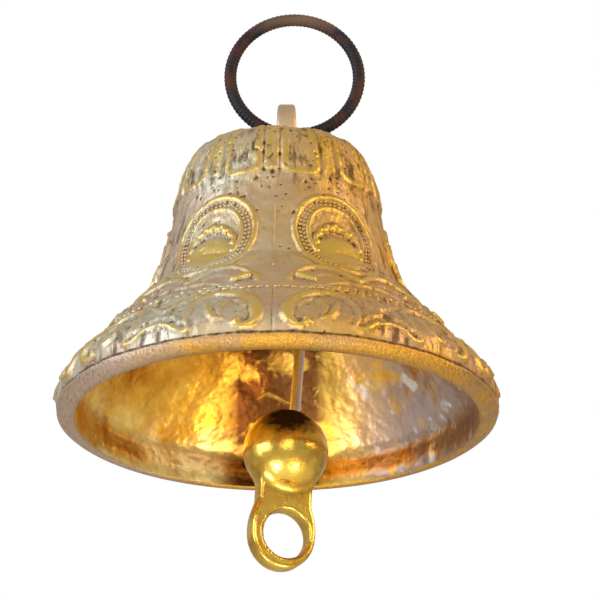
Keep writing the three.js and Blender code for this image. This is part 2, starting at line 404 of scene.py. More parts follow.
@dataclass(frozen=True)
class CastBrass:
    """Sand-cast brass, tarnished to a dull tan.

    Raised work is rubbed pale gold, and hollows hold brown dirt. Distances are from the lip's middle.
    """

    name: str = "sand_cast_brass"
    tan: str = "#c49f5e"
    haze_and_cool_light: str = "#c8c0a8"
    pink: str = "#c0a088"
    rubbed: str = "#dcb63c"
    dirt: str = "#54401f"
    grain: float = 0.45
    patch: float = 14.0
    roughness: float = 0.48
    rubbed_roughness: float = 0.28
    haze_and_light_starts: float = 25.0
    haze_and_light_full: float = -45.0
    crown_grime: float = 62.0
    crown_grime_edge: float = 8.0
    flank_starts: float = 12.0
    flank_full: float = 30.0

    def material(self, lip: Vector) -> Material:
        """Makes the finish, which reads the numbers that store_wear stores.

        Args:
            lip: the middle of the lip's widest circle, which the grime, and the pale haze that is partly dust
                and partly painted cool light, are placed from.

        Returns:
            The material.
        """
        metal = Surface(self.name)
        relief, hollow = metal.stored("relief"), metal.stored("hollow")
        patches = metal.noise(self.patch, 5.0, 0.6)
        specks = metal.noise(1.6, 3.0, 0.7)
        streaks = metal.noise(3.0, 4.0, 0.7, place=metal.drawn_out((1, 1, 0.22)))

        # pale haze, heavier to the left: partly dust patches, partly painted cool window light on that side
        side = metal.mapped(metal.along("X"), lip.x + self.haze_and_light_starts * MM, lip.x + self.haze_and_light_full * MM)
        cool = metal.mapped(metal.product(side, patches), 0.06, 0.34)
        blush = metal.mapped(metal.noise(22, 3.0, 0.5, 0.4), 0.5, 0.62, 0, 0.6)
        ground = metal.mixed(blush, metal.mixed(cool, self.tan, self.haze_and_cool_light), self.pink)
        rub = metal.mapped(metal.product(relief, specks), 0.24, 0.5, 0, 0.75)
        colour = metal.mixed(rub, ground, self.rubbed)

        low, high = (lip.z + (self.crown_grime + s * self.crown_grime_edge) * MM for s in (-1, 1))
        crown = metal.mapped(metal.along("Z"), low, high, 0.0, 0.75)
        flank = metal.mapped(metal.aside_of(lip.x), self.flank_starts * MM, self.flank_full * MM, 0.0, 0.55)
        reach = metal.combined("MAXIMUM", crown, flank)
        clean = metal.mapped(rub, 0, 0.6, 1.0, 0.25)
        grime = metal.product(metal.mapped(streaks, 0.48, 0.62), reach, clean)
        held = metal.mapped(metal.product(hollow, specks), 0.14, 0.5, 0, 0.8)
        dirty = metal.combined("MAXIMUM", grime, held)

        smooth = metal.mapped(rub, 0, 1, self.roughness, self.rubbed_roughness)
        dents = metal.bumped(metal.noise(3.2, 2.0, 0.5), 0.45, 0.6)
        scars = metal.bumped(streaks, 0.4, 0.5, dents)
        return metal.finished(
            Metallic=0.86,
            Base_Color=metal.mixed(dirty, colour, self.dirt),
            Roughness=metal.combined("ADD", smooth, dirty),
            Normal=metal.bumped(metal.noise(self.grain, 3.0, 0.6), 0.4, 0.14, scars),
        )


@dataclass(frozen=True)
class BareCastBrass:
    """Brass as it came from the core, inside the bell: bright and rippled.

    A painted shadow of the clapper darkens it brown at the back; it is mauve at the right, with painted
    glints in pale streaks, and a painted highlight makes it pale yellow low at the left.
    Distances are from the lip's middle.
    """

    name: str = "bare_cast_brass"
    gold: str = "#f2c450"
    deep: str = "#dc9a2e"
    stain: str = "#b4a29c"
    glint: str = "#e4e6ee"
    painted_dark: str = "#45180b"
    painted_highlight: str = "#fff0a8"
    ripple: float = 14.0
    roughness: float = 0.32
    stain_starts: float = 16.0
    stain_full: float = 40.0
    highlight_height: tuple[float, float] = (16.0, 4.0)
    highlight_side: tuple[float, float] = (-8.0, -20.0)
    shadow_reach: float = 17.0
    shadow_edge: float = 5.0
    shadow_depth: float = 12.0

    def material(self, lip: Vector) -> Material:
        """Makes the finish for the inside wall.

        Args:
            lip: the middle of the lip's widest circle, which the mauve stain, the painted shadow, the painted
                glints and the painted highlight are placed from.

        Returns:
            The material.
        """
        metal = Surface(self.name)
        clouds = metal.noise(16, 5.0, 0.62)
        colour = metal.mixed(metal.mapped(clouds, 0.38, 0.6), self.deep, self.gold)

        edge = metal.noise(11, 4.0, 0.65, 0.3)
        side = metal.mapped(metal.along("X"), lip.x + self.stain_starts * MM, lip.x + self.stain_full * MM)
        colour = metal.mixed(metal.product(side, metal.mapped(edge, 0.34, 0.5)), colour, self.stain)
        # painted glints: pale bluish reflection streaks over the mauve at the right
        streaks = metal.noise(6.0, 3.0, 0.6, place=metal.drawn_out((1, 1, 0.25)))
        colour = metal.mixed(metal.product(side, metal.mapped(streaks, 0.6, 0.68)), colour, self.glint)

        # painted highlight: pale yellow low on the left of the inside wall, near the rim
        low = metal.mapped(metal.along("Z"), *(lip.z + height * MM for height in self.highlight_height))
        left = metal.mapped(metal.along("X"), *(lip.x + place * MM for place in self.highlight_side))
        colour = metal.mixed(metal.product(low, left, metal.mapped(edge, 0.36, 0.56)), colour, self.painted_highlight)

        # painted shadow: a ragged dark brown band down the back of the inside wall, where the clapper shades
        # it
        outer, inner = (self.shadow_reach + self.shadow_edge) * MM, (self.shadow_reach - self.shadow_edge) * MM
        band = metal.mapped(metal.aside_of(lip.x), outer, inner)
        back = metal.mapped(metal.along("Y"), 0.0, self.shadow_depth * MM)
        patch = metal.mapped(metal.noise(13, 4.0, 0.6, 0.8), 0.36, 0.5, 0.35, 0.95)
        colour = metal.mixed(metal.product(band, back, patch), colour, self.painted_dark)

        ripples = metal.bumped(metal.noise(self.ripple, 3.0, 0.55), 0.7, 2.2)
        return metal.finished(
            Metallic=0.95,
            Base_Color=colour,
            Roughness=metal.mapped(clouds, 0, 1, self.roughness - 0.1, self.roughness + 0.14),
            Normal=metal.bumped(metal.noise(1.2, 2.0, 0.5), 0.3, 0.25, ripples),
        )


@dataclass(frozen=True)
class FiledBrass:
    """The rim as the founder's file left it: bright gold with short slanting cuts, and pinkish at the left:
    partly pink patina, partly painted cool light on that side.
    """

    name: str = "filed_brass"
    bright: str = "#d4a244"
    dull: str = "#b8966a"
    pink: str = "#c8b4a4"
    shade: str = "#8a5e24"
    cut: float = 0.6
    cut_slant: float = 35.0
    pink_starts: float = -22.0
    pink_full: float = -44.0

    def material(self, lip: Vector) -> Material:
        """Makes the finish for the lip's band.

        Args:
            lip: the middle of the lip's widest circle.

        Returns:
            The material.
        """
        metal = Surface(self.name)
        cuts = metal.noise(self.cut, 3.0, 0.7, place=metal.drawn_out((1.0, 0.16, 1.0), self.cut_slant))
        worn = metal.mapped(metal.noise(12, 3.0, 0.5), 0.48, 0.64, 0, 0.8)
        colour = metal.mixed(worn, self.bright, self.dull)
        # pinkish to the left: partly pink patina, partly painted cool window light on that side
        ends = (lip.x + self.pink_starts * MM, lip.x + self.pink_full * MM)
        colour = metal.mixed(metal.mapped(metal.along("X"), *ends, 0, 0.9), colour, self.pink)
        return metal.finished(
            Metallic=0.9,
            Roughness=0.32,
            Base_Color=metal.mixed(metal.mapped(cuts, 0.5, 0.36, 0, 0.45), colour, self.shade),
            Normal=metal.bumped(cuts, 0.9, 0.45),
        )


@dataclass(frozen=True)
class PolishedBrass:
    """Buffed brass on the clapper: near a mirror and knocked, with a painted dark reflection round the foot
    of the rod.
    """

    name: str = "polished_brass"
    bright: str = "#f0cc5c"
    film: str = "#b98a36"
    painted_reflection: str = "#2c0c0a"
    reflection_place: tuple[float, float, float] = (0.8, -9.4, 8.1)
    reflection_starts: float = 8.9
    reflection_full: float = 4.9
    ragged: float = 1.5

    def material(self, ball: Vector) -> Material:
        """Makes the finish for the ball and its pull loop.

        Args:
            ball: the middle of the ball, which the painted dark reflection in front of the rod's foot is
                placed from.

        Returns:
            The material.
        """
        metal = Surface(self.name)
        # painted reflection: a ragged dark patch on the ball's top round the rod's foot, made rougher there
        # too
        painted_reflection = ball + Vector(self.reflection_place) * MM
        clouds = metal.noise(7, 4.0, 0.6)
        colour = metal.mixed(metal.mapped(clouds, 0.45, 0.7), self.bright, self.film)
        away = metal.add("VectorMath", {0: metal.place, 1: painted_reflection}, operation="DISTANCE").outputs["Value"]
        ragged = metal.mapped(metal.noise(3.0, 3.0, 0.6, 0.2), 0.3, 0.7, -self.ragged * MM, self.ragged * MM)
        away = metal.combined("ADD", away, ragged)
        painted_dark = metal.mapped(away, self.reflection_starts * MM, self.reflection_full * MM, 0, 0.95)
        smooth = metal.mapped(clouds, 0.3, 0.7, 0.14, 0.34)
        return metal.finished(
            Metallic=0.98,
            Base_Color=metal.mixed(painted_dark, colour, self.painted_reflection),
            Roughness=metal.combined("ADD", smooth, metal.mapped(painted_dark, 0, 1, 0, 0.3)),
            Normal=metal.bumped(metal.noise(2.5, 3.0, 0.5), 0.45, 0.35),
        )


@dataclass(frozen=True)
class RustySteel:
    """Ribbed mild steel: dark mill scale with rust bloom, rubbed bare where it hangs."""

    name: str = "rusty_ribbed_steel"
    scale_grey: str = "#2a272b"
    rust: str = "#4a241c"
    bare: str = "#7c6658"
    patch: float = 7.0
    bare_height: tuple[float, float] = (-3.5, 2.0)

    def material(self) -> Material:
        """Makes the finish for the hanging ring, which rubs on its hook at the frame's zero height.

        Returns:
            The material.
        """
        metal = Surface(self.name)
        rust = metal.mapped(metal.noise(self.patch, 5.0, 0.65), 0.44, 0.58)
        colour = metal.mixed(rust, self.scale_grey, self.rust)
        worn = metal.mapped(metal.along("Z"), *(height * MM for height in self.bare_height), 0, 0.7)
        return metal.finished(
            Base_Color=metal.mixed(worn, colour, self.bare),
            Metallic=metal.mapped(rust, 0, 1, 0.7, 0.25),
            Roughness=metal.mapped(rust, 0, 1, 0.5, 0.78),
            Normal=metal.bumped(metal.noise(0.5, 3.0, 0.5), 0.5, 0.15),
        )


@dataclass(frozen=True)
class DrawnSteel:
    """Drawn or plated steel with fine scuffs: the clapper's rod and the hidden fasteners."""

    name: str
    colour: str
    scuffed: str
    roughness: float
    scuff: float = 1.5
    scuff_roughness: float = 0.25

    def material(self) -> Material:
        """Makes the finish.

        Returns:
            The material.
        """
        metal = Surface(self.name)
        scuffs = metal.noise(self.scuff, 4.0, 0.6)
        return metal.finished(
            Metallic=1.0,
            Base_Color=metal.mixed(scuffs, self.colour, self.scuffed),
            Roughness=metal.mapped(scuffs, 0, 1, self.roughness, self.roughness + self.scuff_roughness),
        )


@dataclass(frozen=True)
class PalePaper:
    """Matt pale floor paint, which only lights the object from below."""

    name: str = "pale_floor"
    colour: str = "#e9e6e0"
    roughness: float = 0.9

    def material(self) -> Material:
        """Returns the material for the floor."""
        return Surface(self.name).finished(Base_Color=linear(self.colour), Roughness=self.roughness)


# ---------------------------------------------------------------- the bell's outline


@dataclass
class Outline:
    """The turned outline of the shell, from the rim's flat up the outside to the crown.

    Radii, and heights above the lip's widest circle, in millimetres. The rows that a mesh is spun from
    are kept as radius, height, outward normal and distance along the outline.
    """

    mouth_radius: float
    height: float
    lip_band: float = 3.0
    lip_drop: float = 2.4
    rim_inner: float = 59.0
    bead_radius: float = 55.9
    bead_height: float = 17.0
    flare_top_radius: float = 38.4
    flare_top_height: float = 37.0
    waist_radius: float = 32.8
    waist_below_crown: float = 26.0
    shoulder_radius: float = 30.5
    shoulder_below_crown: float = 14.0
    crown_edge: float = 19.5
    crown_edge_drop: float = 0.1
    wall: float = 4.0
    ground: float = 0.9
    lip_ground: float = 0.35
    ground_starts: float = 4.0
    ground_full: float = 12.0
    thick_below: float = 12.0
    fine: float = 0.2

    @property
    def top(self) -> float:
        """Returns the height of the crown's edge."""
        return self.height - self.crown_edge_drop - 0.4

    def _stretch(self, start: tuple, end: tuple, roundness: float, steps: int = 40) -> np.ndarray:
        """Runs one smooth stretch between two knots of radius, height and direction in degrees.

        Args:
            start: the lower knot.
            end: the upper knot.
            roundness: how far the curve follows each direction, as a part of the stretch.
            steps: how many points it has.

        Returns:
            The points as rows of radius and height.
        """
        reach = roundness * math.hypot(end[0] - start[0], end[1] - start[1])
        one, two = math.radians(start[2]), math.radians(end[2])
        leave = (start[0] + reach * math.cos(one), start[1] + reach * math.sin(one))
        arrive = (end[0] - reach * math.cos(two), end[1] - reach * math.sin(two))
        corners = np.array([start[:2], leave, arrive, end[:2]])
        t = np.linspace(0, 1, steps)[:, None]
        weights = [(1 - t) ** 3, 3 * (1 - t) ** 2 * t, 3 * (1 - t) * t**2, t**3]
        return sum(w * c for w, c in zip(weights, corners))

    def outside(self) -> np.ndarray:
        """Works out the ground that the relief is raised on, a little inside the turned outline.

        Returns:
            Finely spaced points of radius and height from the band to the crown's edge.
        """
        band = (self.mouth_radius, self.lip_band, 90)
        beads = (self.bead_radius, self.bead_height, 131)
        flare_top = (self.flare_top_radius, self.flare_top_height, 134)
        foot = (self.flare_top_radius, self.flare_top_height, 107)
        waist = (self.waist_radius, self.height - self.waist_below_crown, 100)
        shoulder = (self.shoulder_radius, self.height - self.shoulder_below_crown, 103)
        crown = (self.crown_edge, self.height - self.crown_edge_drop, 172)
        runs = [
            np.array([[self.mouth_radius, 0.0]]),
            self._stretch(band, beads, 0.33),
            self._stretch(beads, flare_top, 0.33)[1:],
            self._stretch(foot, waist, 0.33)[1:],
            self._stretch(waist, shoulder, 0.33)[1:],
            self._stretch(shoulder, crown, 0.42)[1:],
        ]
        cast = np.vstack(runs)
        dr, dz = np.gradient(cast[:, 0]), np.gradient(cast[:, 1])
        length = np.maximum(np.hypot(dr, dz), 1e-9)
        ease = np.clip((cast[:, 1] - self.ground_starts) / (self.ground_full - self.ground_starts), 0, 1)
        sink = self.lip_ground + (self.ground - self.lip_ground) * ease
        sunk = np.stack([cast[:, 0] - sink * dz / length, cast[:, 1] + sink * dr / length * ease], 1)
        return sunk[np.r_[True, np.diff(sunk[:, 1]) > 0]]

    def rows(self, low: float, high: float, spacing: float) -> dict[str, np.ndarray]:
        """Divides a length of the outside evenly.

        Args:
            low: height of the first row.
            high: height of the last row.
            spacing: distance between rows.

        Returns:
            Arrays r, z, nr, nz and s for the rows.
        """
        points = self.outside()
        along = np.r_[0, np.cumsum(np.hypot(*np.diff(points, axis=0).T))]
        start, end = np.interp([low, high], points[:, 1], along)
        s = np.linspace(start, end, max(2, round((end - start) / spacing) + 1))
        r, z = (np.interp(s, along, part) for part in points.T)
        step = 2 * self.fine
        dr, dz = (np.interp(s + step, along, part) - np.interp(s - step, along, part) for part in points.T)
        length = np.hypot(dr, dz)
        return {"r": r, "z": z, "nr": dz / length, "nz": -dr / length, "s": s}

    def at(self, heights: np.ndarray) -> dict[str, np.ndarray]:
        """Returns r, z, nr, nz and s at the given heights."""
        fine = self.rows(0.0, self.top, self.fine)
        return {key: np.interp(heights, fine["z"], fine[key]) for key in fine}

    def inside(self, low: float, high: float, spacing: float) -> list[tuple[float, float]]:
        """Works out the inside wall between two heights.

        Args:
            low: height of the first point.
            high: height of the last point.
            spacing: distance between points.

        Returns:
            Radius and height of each point, from the low one up.
        """
        outer = self.rows(0.0, self.top, 1.0)
        depth = self.wall - self.ground
        r, z = outer["r"] - depth * outer["nr"], outer["z"] - depth * outer["nz"]
        thick = np.clip((self.thick_below - z) / self.thick_below, 0, 1)
        r = r * (1 - thick) + np.minimum(r, self.rim_inner) * thick
        keep = (r < self.rim_inner) & (z > 4.0) & (z < self.height - self.wall - 0.4)
        heights = np.linspace(low, high, max(2, round((high - low) / spacing) + 1))
        order = np.argsort(z[keep])
        return list(zip(np.interp(heights, z[keep][order], r[keep][order]), heights))


# ---------------------------------------------------------------- the moulded relief


@dataclass
class Ridge:
    """A raised line of the relief: its path as angle and height, its half width and its rise."""

    path: list[tuple[float, float]]
    half_width: tuple[float, float]
    rise: tuple[float, float]
    swell: float = 0.0

    def samples(self) -> tuple[np.ndarray, np.ndarray, np.ndarray]:
        """Divides the line finely.

        Returns:
            Points along the path, with the half width and the rise at each.
        """
        points = spline(self.path, 14)
        t = np.linspace(0, 1, len(points))
        belly = 1 + self.swell * np.sin(math.pi * t)
        width = (self.half_width[0] * (1 - t) + self.half_width[1] * t) * belly
        return points, width, self.rise[0] * (1 - t) + self.rise[1] * t


@dataclass
class Relief:
    """The pattern moulded on the outside: six medallions, with scrolls, leaves and crown panels.

    Angles are in degrees from the middle of the strip that holds the mould seam. The pattern repeats six
    times and is mirrored about each medallion, so it is drawn once, from the strip to a medallion's middle.
    """

    outline: Outline
    columns: int = 720
    repeats: int = 6
    seam_angle: float = -1.5
    panel_count: int = 11
    panel_angle: float = 12.8
    panel_half_angle: float = 11.9
    panel_foot: float = 63.4
    panel_rise: float = 0.8
    panel_corner: float = 4.2
    strip_half: float = 2.3
    strip_rise: float = 0.7
    dome_middle: float = 36.8
    dome_half: tuple[float, float] = (8.2, 6.8)
    dome_rise: float = 1.3
    sharpness: float = 0.75
    groove_height: float = 0.9
    groove_half: float = 0.55
    groove_depth: float = 0.35
    seam_foot: tuple[float, float] = (1.5, 18.2)
    frame_knots: tuple = (
        (30, 58.0), (24, 57.6), (18.2, 56.3), (13, 53.8), (9.4, 50.2), (7.9, 46.4), (8.1, 42.3),
        (9.7, 38.7), (12.3, 35.0), (15.3, 31.9), (19, 30.0), (24, 28.8), (30, 28.2),
    )

    @property
    def half_sector(self) -> float:
        """Returns the angle from a strip's middle to a medallion's middle."""
        return 180 / self.repeats

    def frame(self, inset: float) -> np.ndarray:
        """Returns half of a medallion's frame as angle and distance along the shell's outline.

        Args:
            inset: how far inside the frame's outer ridge it runs, in millimetres.

        Returns:
            The points, from the top round the strip's side to the bottom.
        """
        knots = spline(list(self.frame_knots), 12)
        place = self.outline.at(knots[:, 1])
        x, y = np.radians(self.half_sector - knots[:, 0]) * place["r"], place["s"]
        dx, dy = np.gradient(x), np.gradient(y)
        length = np.hypot(dx, dy)
        x, y = np.clip(x + inset * dy / length, 0, None), y - inset * dx / length
        fine = self.outline.rows(0.0, self.outline.top, self.outline.fine)
        return np.stack([self.half_sector - np.degrees(x / np.interp(y, fine["s"], fine["r"])), y], 1)

    def ridges(self) -> list[Ridge]:
        """Draws the raised lines of one half sector, as angle and height.

        Returns:
            The lines: moulding ends, the scroll under the medallion, crescents, foot leaves, and the
            medallion's own fan, scallops and crest.
        """
        lines = [
            Ridge([(8.4, 24.2), (10.4, 23.6), (12.9, 22.7)], (1.35, 1.15), (1.5, 1.3)),
            Ridge([(5.2, 22.2), (5.6, 23.8), (7.0, 25.4)], (0.85, 0.8), (1.0, 0.8), 0.3),
            Ridge([(7.0, 25.4), (9.3, 26.9), (13.6, 28.7), (18.9, 29.0), (23.9, 27.9), (27.3, 26.0),
                   (30, 24.6)], (0.8, 0.9), (0.9, 0.9), 0.4),
            Ridge([(14.0, 24.6), (17.5, 25.9), (22.0, 25.4), (26.0, 23.6)], (0.6, 0.6), (0.6, 0.4), 0.3),
            Ridge([(16.5, 20.9), (22.0, 22.8), (26.0, 23.2), (30, 22.8)], (0.7, 0.7), (0.6, 0.7), 0.3),
            Ridge([(13.0, 30.8), (9.8, 32.0), (8.0, 33.4), (6.9, 35.9)], (1.2, 0.5), (0.9, 0.5), 0.5),
            Ridge([(13.6, 29.9), (10.4, 30.3), (8.0, 31.4)], (0.9, 0.4), (0.7, 0.4), 0.4),
            Ridge([(18.8, 16.4), (13.4, 16.4), (8.6, 15.0), (5.4, 12.1), (3.9, 8.8), (3.7, 5.6),
                   (4.9, 3.3), (7.4, 2.7)], (0.9, 0.9), (1.0, 1.1), 1.5),
            Ridge([(17.0, 16.2), (20.6, 14.8), (22.2, 11.0), (21.8, 6.8), (20.4, 3.6)],
                  (0.9, 0.6), (0.9, 0.7), 0.6),
            Ridge([(7.2, 2.9), (8.8, 3.6), (8.4, 5.1)], (0.8, 0.8), (1.0, 1.0), 0.3),
            Ridge([(6.7, 9.8), (8.2, 12.0), (11.4, 13.6)], (0.8, 0.5), (0.8, 0.6), 0.7),
            Ridge([(12.2, 12.8), (13.7, 10.2), (13.0, 7.2)], (0.8, 0.6), (0.8, 0.6), 0.6),
            Ridge([(12.2, 5.2), (14.4, 6.0), (16.3, 9.2), (17.4, 12.0)], (0.7, 0.9), (0.8, 0.8), 0.6),
            Ridge([(17.7, 17.0), (22.0, 15.9), (26.3, 13.9), (30, 11.8)], (0.6, 0.8), (0.8, 0.9)),
            Ridge([(20.5, 3.0), (23.3, 3.2), (26.3, 5.4), (30, 6.2)], (0.8, 0.8), (0.8, 0.9), 0.3),
            Ridge([(23.2, 6.2), (25.2, 8.4), (30, 9.4)], (0.6, 0.6), (0.6, 0.6), 0.5),
        ]
        for k in range(4):
            leaf = [(17 + 3.4 * k, 18.0), (19 + 3.1 * k, 19.8), (22 + 2.5 * k, 21.0)]
            lines.append(Ridge(leaf, (0.9, 0.5), (0.7, 0.5), 0.4))
            rib = [(30 - 0.9 * k, 31.4), (30 - 2.4 * k, 34.6 - 0.5 * k), (30 - 3.6 * k, 37.6 - 1.5 * k)]
            lines.append(Ridge(rib, (0.8, 0.6), (0.6, 0.4), 0.4))
        for k in range(5):
            lean = math.radians(90 + 20 * k)
            across, up = math.cos(lean), math.sin(lean)
            middle = (30 + 12.6 * across, 37.6 + 9.6 * up)
            side = (2.9 * up, -1.9 * across)
            curl = (1.5 * across, 1.5 * up)
            ends = [tuple(m + s * d - c for m, d, c in zip(middle, side, curl)) for s in (1, -1)]
            lines.append(Ridge([ends[0], middle, ends[1]], (0.75, 0.75), (1.0, 1.0), 0.2))
        for k in range(3):
            crest = [(30 - 1.0 * k, 50.2), (30 - 3.0 * k, 52.4), (30 - 5.2 * k, 53.6 - 0.5 * k)]
            lines.append(Ridge(crest, (0.6, 0.4), (0.55, 0.35), 0.4))
        return lines

    def _raise(self, height: np.ndarray, angles: np.ndarray, rows: dict, line: tuple) -> None:
        """Raises a field of heights to a line.

        Args:
            height: the field by row and column, which is changed.
            angles: the columns' angles.
            rows: the outline's rows.
            line: angle, distance along the outline, half width and rise at each of the line's points.
        """
        arc = np.radians(1.0) * rows["r"][:, None]
        for angle, along, width, rise in zip(*line):
            near = ((angles[None, :] - angle) * arc) ** 2 + (rows["s"][:, None] - along) ** 2
            np.maximum(height, rise * np.clip(1 - near / width**2, 0, None) ** self.sharpness, out=height)

    def half_pattern(self, rows: dict) -> np.ndarray:
        """Raises all lines of one half sector, over the medallion's smooth dome.

        Args:
            rows: the outline's rows.

        Returns:
            The height by row, and by column from the strip to the medallion's middle.
        """
        angles = np.linspace(0, self.half_sector, self.columns // (2 * self.repeats) + 1)
        arc = np.radians(1.0) * rows["r"][:, None]
        across = (angles[None, :] - self.half_sector) * arc
        middle = self.outline.at(np.array([self.dome_middle]))["s"][0]
        half_across, half_up = self.dome_half
        dome = (across / half_across) ** 2 + ((rows["s"][:, None] - middle) / half_up) ** 2
        base = self.dome_rise * np.clip(1 - dome, 0, None) ** 0.6
        height = base.copy()
        for inset, width, rise in ((0.9, 1.1, 0.85), (4.9, 0.85, 0.75)):
            curve = self.frame(inset)
            ones = np.ones(len(curve))
            self._raise(height, angles, rows, (curve[:, 0], curve[:, 1], width * ones, rise * ones))
        for ridge in self.ridges():
            points, width, rise = ridge.samples()
            up = self.outline.at(points[:, 1])["s"]
            raised = np.zeros_like(height)
            self._raise(raised, angles, rows, (points[:, 0], up, width, rise))
            height = np.maximum(height, np.where(raised > 0, base * 0.7 + raised, 0))
        return height

    def panels(self, rows: dict, azimuth: np.ndarray) -> np.ndarray:
        """Raises the crown's hanging panels, and the narrow strips between them.

        Args:
            rows: the outline's rows.
            azimuth: the columns' angles round the bell, from the front.

        Returns:
            The height by row and column.
        """
        pitch = 360 / self.panel_count
        off = (azimuth[None, :] - self.panel_angle + pitch / 2) % pitch - pitch / 2
        arc = np.radians(1.0) * rows["r"][:, None]
        foot, top = self.outline.at(np.array([self.panel_foot, self.outline.height - 1.0]))["s"]
        corner = self.panel_corner
        inside_x = self.panel_half_angle * arc - np.abs(off) * arc
        inside_y = rows["s"][:, None] - foot
        rounded = corner - np.hypot(np.clip(corner - inside_x, 0, None), np.clip(corner - inside_y, 0, None))
        edge = np.minimum(np.minimum(inside_x, inside_y), rounded)
        panel = 0.5 * self.panel_rise * np.clip(edge / 1.0, 0, 1)
        panel += 0.5 * self.panel_rise * np.clip(1 - ((edge - 1.5) / 1.5) ** 2, 0, None)
        strip_edge = np.minimum(self.strip_half - (pitch / 2 - np.abs(off)) * arc, inside_y - 1.5)
        strip = self.strip_rise * np.clip(strip_edge / 0.6, 0, 1)
        fade = np.clip((top - rows["s"][:, None]) / 5.0, 0, 1)
        return np.maximum(panel, strip) * fade

    def field(self, rows: dict) -> dict[str, np.ndarray]:
        """Works out the whole relief for a set of rows.

        Args:
            rows: the outline's rows.

        Returns:
            Height in millimetres, and the relief and hollow numbers of 0 to 1, by row and column.
        """
        azimuth = np.arange(self.columns) * 360 / self.columns
        sector = 2 * self.half_sector
        folded = np.abs((azimuth - self.seam_angle + self.half_sector) % sector - self.half_sector)
        pick = np.rint(folded / self.half_sector * (self.columns // (2 * self.repeats))).astype(int)
        height = np.maximum(self.half_pattern(rows)[:, pick], self.panels(rows, azimuth))
        relief = np.clip(height / 0.9, 0, 1)
        height += self.stipple(rows, folded)
        pits = self.pits(rows)
        height -= pits
        groove = np.clip(1 - ((rows["z"][:, None] - self.groove_height) / self.groove_half) ** 2, 0, None)
        height -= self.groove_depth * groove
        for seam in (self.seam_angle, self.seam_angle + 180):
            column = round((seam % 360) / 360 * self.columns) % self.columns
            low = (rows["z"] > self.seam_foot[0]) & (rows["z"] < self.seam_foot[1])
            for near, deep in ((-1, 0.08), (0, 0.3), (1, 0.08)):
                height[low, (column + near) % self.columns] -= deep
                pits[low, (column + near) % self.columns] += 0.4 * deep
        padded = np.pad(np.pad(height, ((3, 3), (0, 0)), "edge"), ((0, 0), (3, 3)), "wrap")
        soft = np.zeros_like(height)
        for row in range(7):
            for column in range(7):
                soft += padded[row : row + height.shape[0], column : column + height.shape[1]] / 49
        hollow = 0.7 * np.clip((soft - height) / 0.4, 0, 1) + 0.6 * np.clip(pits / 0.3, 0, 1) + groove
        return {"height": height, "relief": relief, "hollow": np.clip(hollow, 0, 1)}

    def stipple(self, rows: dict, folded: np.ndarray) -> np.ndarray:
        """Punches the ground inside the crescents, round the foot leaves and above the scallops.

        Args:
            rows: the outline's rows.
            folded: the columns' angles, folded into one half sector.

        Returns:
            The height that it adds, by row and column.
        """
        grain = np.random.default_rng(SEED).uniform(-0.5, 1.0, (len(rows["r"]), len(folded)))
        z = rows["z"][:, None]
        crescent = (folded > 6) & (folded < 21) & (z > 3.4) & (z < 14.5)
        foot = (folded > 22) & (z > 2.4) & (z < 15)
        ground = (folded > 17) & (z > 40) & (z < 55)
        crown = z > 60
        return grain * (0.22 * crescent + 0.2 * foot + 0.14 * ground + 0.12 * crown)

    def pits(self, rows: dict) -> np.ndarray:
        """Scatters casting pits, most of them high on the bell.

        Args:
            rows: the outline's rows.

        Returns:
            Their depth by row and column.
        """
        dice = np.random.default_rng(SEED + 1)
        depth = np.zeros((len(rows["r"]), self.columns))
        reach = 4
        for _ in range(14 * len(rows["r"])):
            row, column = dice.integers(len(rows["r"])), dice.integers(self.columns)
            size, deep = dice.uniform(0.3, 0.85), dice.uniform(0.15, 0.45)
            if dice.uniform() > 0.16 + 0.84 * np.clip((rows["z"][row] - 48) / 14, 0, 1):
                continue
            near_rows = slice(max(0, row - reach), row + reach + 1)
            near_columns = (column + np.arange(-reach, reach + 1)) % self.columns
            arc = FULL_TURN * rows["r"][row] / self.columns
            side = (np.arange(-reach, reach + 1)[None, :] * arc) ** 2
            away = (side + (rows["s"][near_rows, None] - rows["s"][row]) ** 2) / size**2
            pit = deep * np.clip(1 - away, 0, None)
            depth[near_rows, near_columns] = np.maximum(depth[near_rows, near_columns], pit)
        return depth


# ---------------------------------------------------------------- the bell's shell


class Wall(Enum):
    """Which part of the shell's wall a row of faces belongs to, in the order of the material slots."""

    OUTSIDE = 0
    INSIDE = 1
    RIM = 2


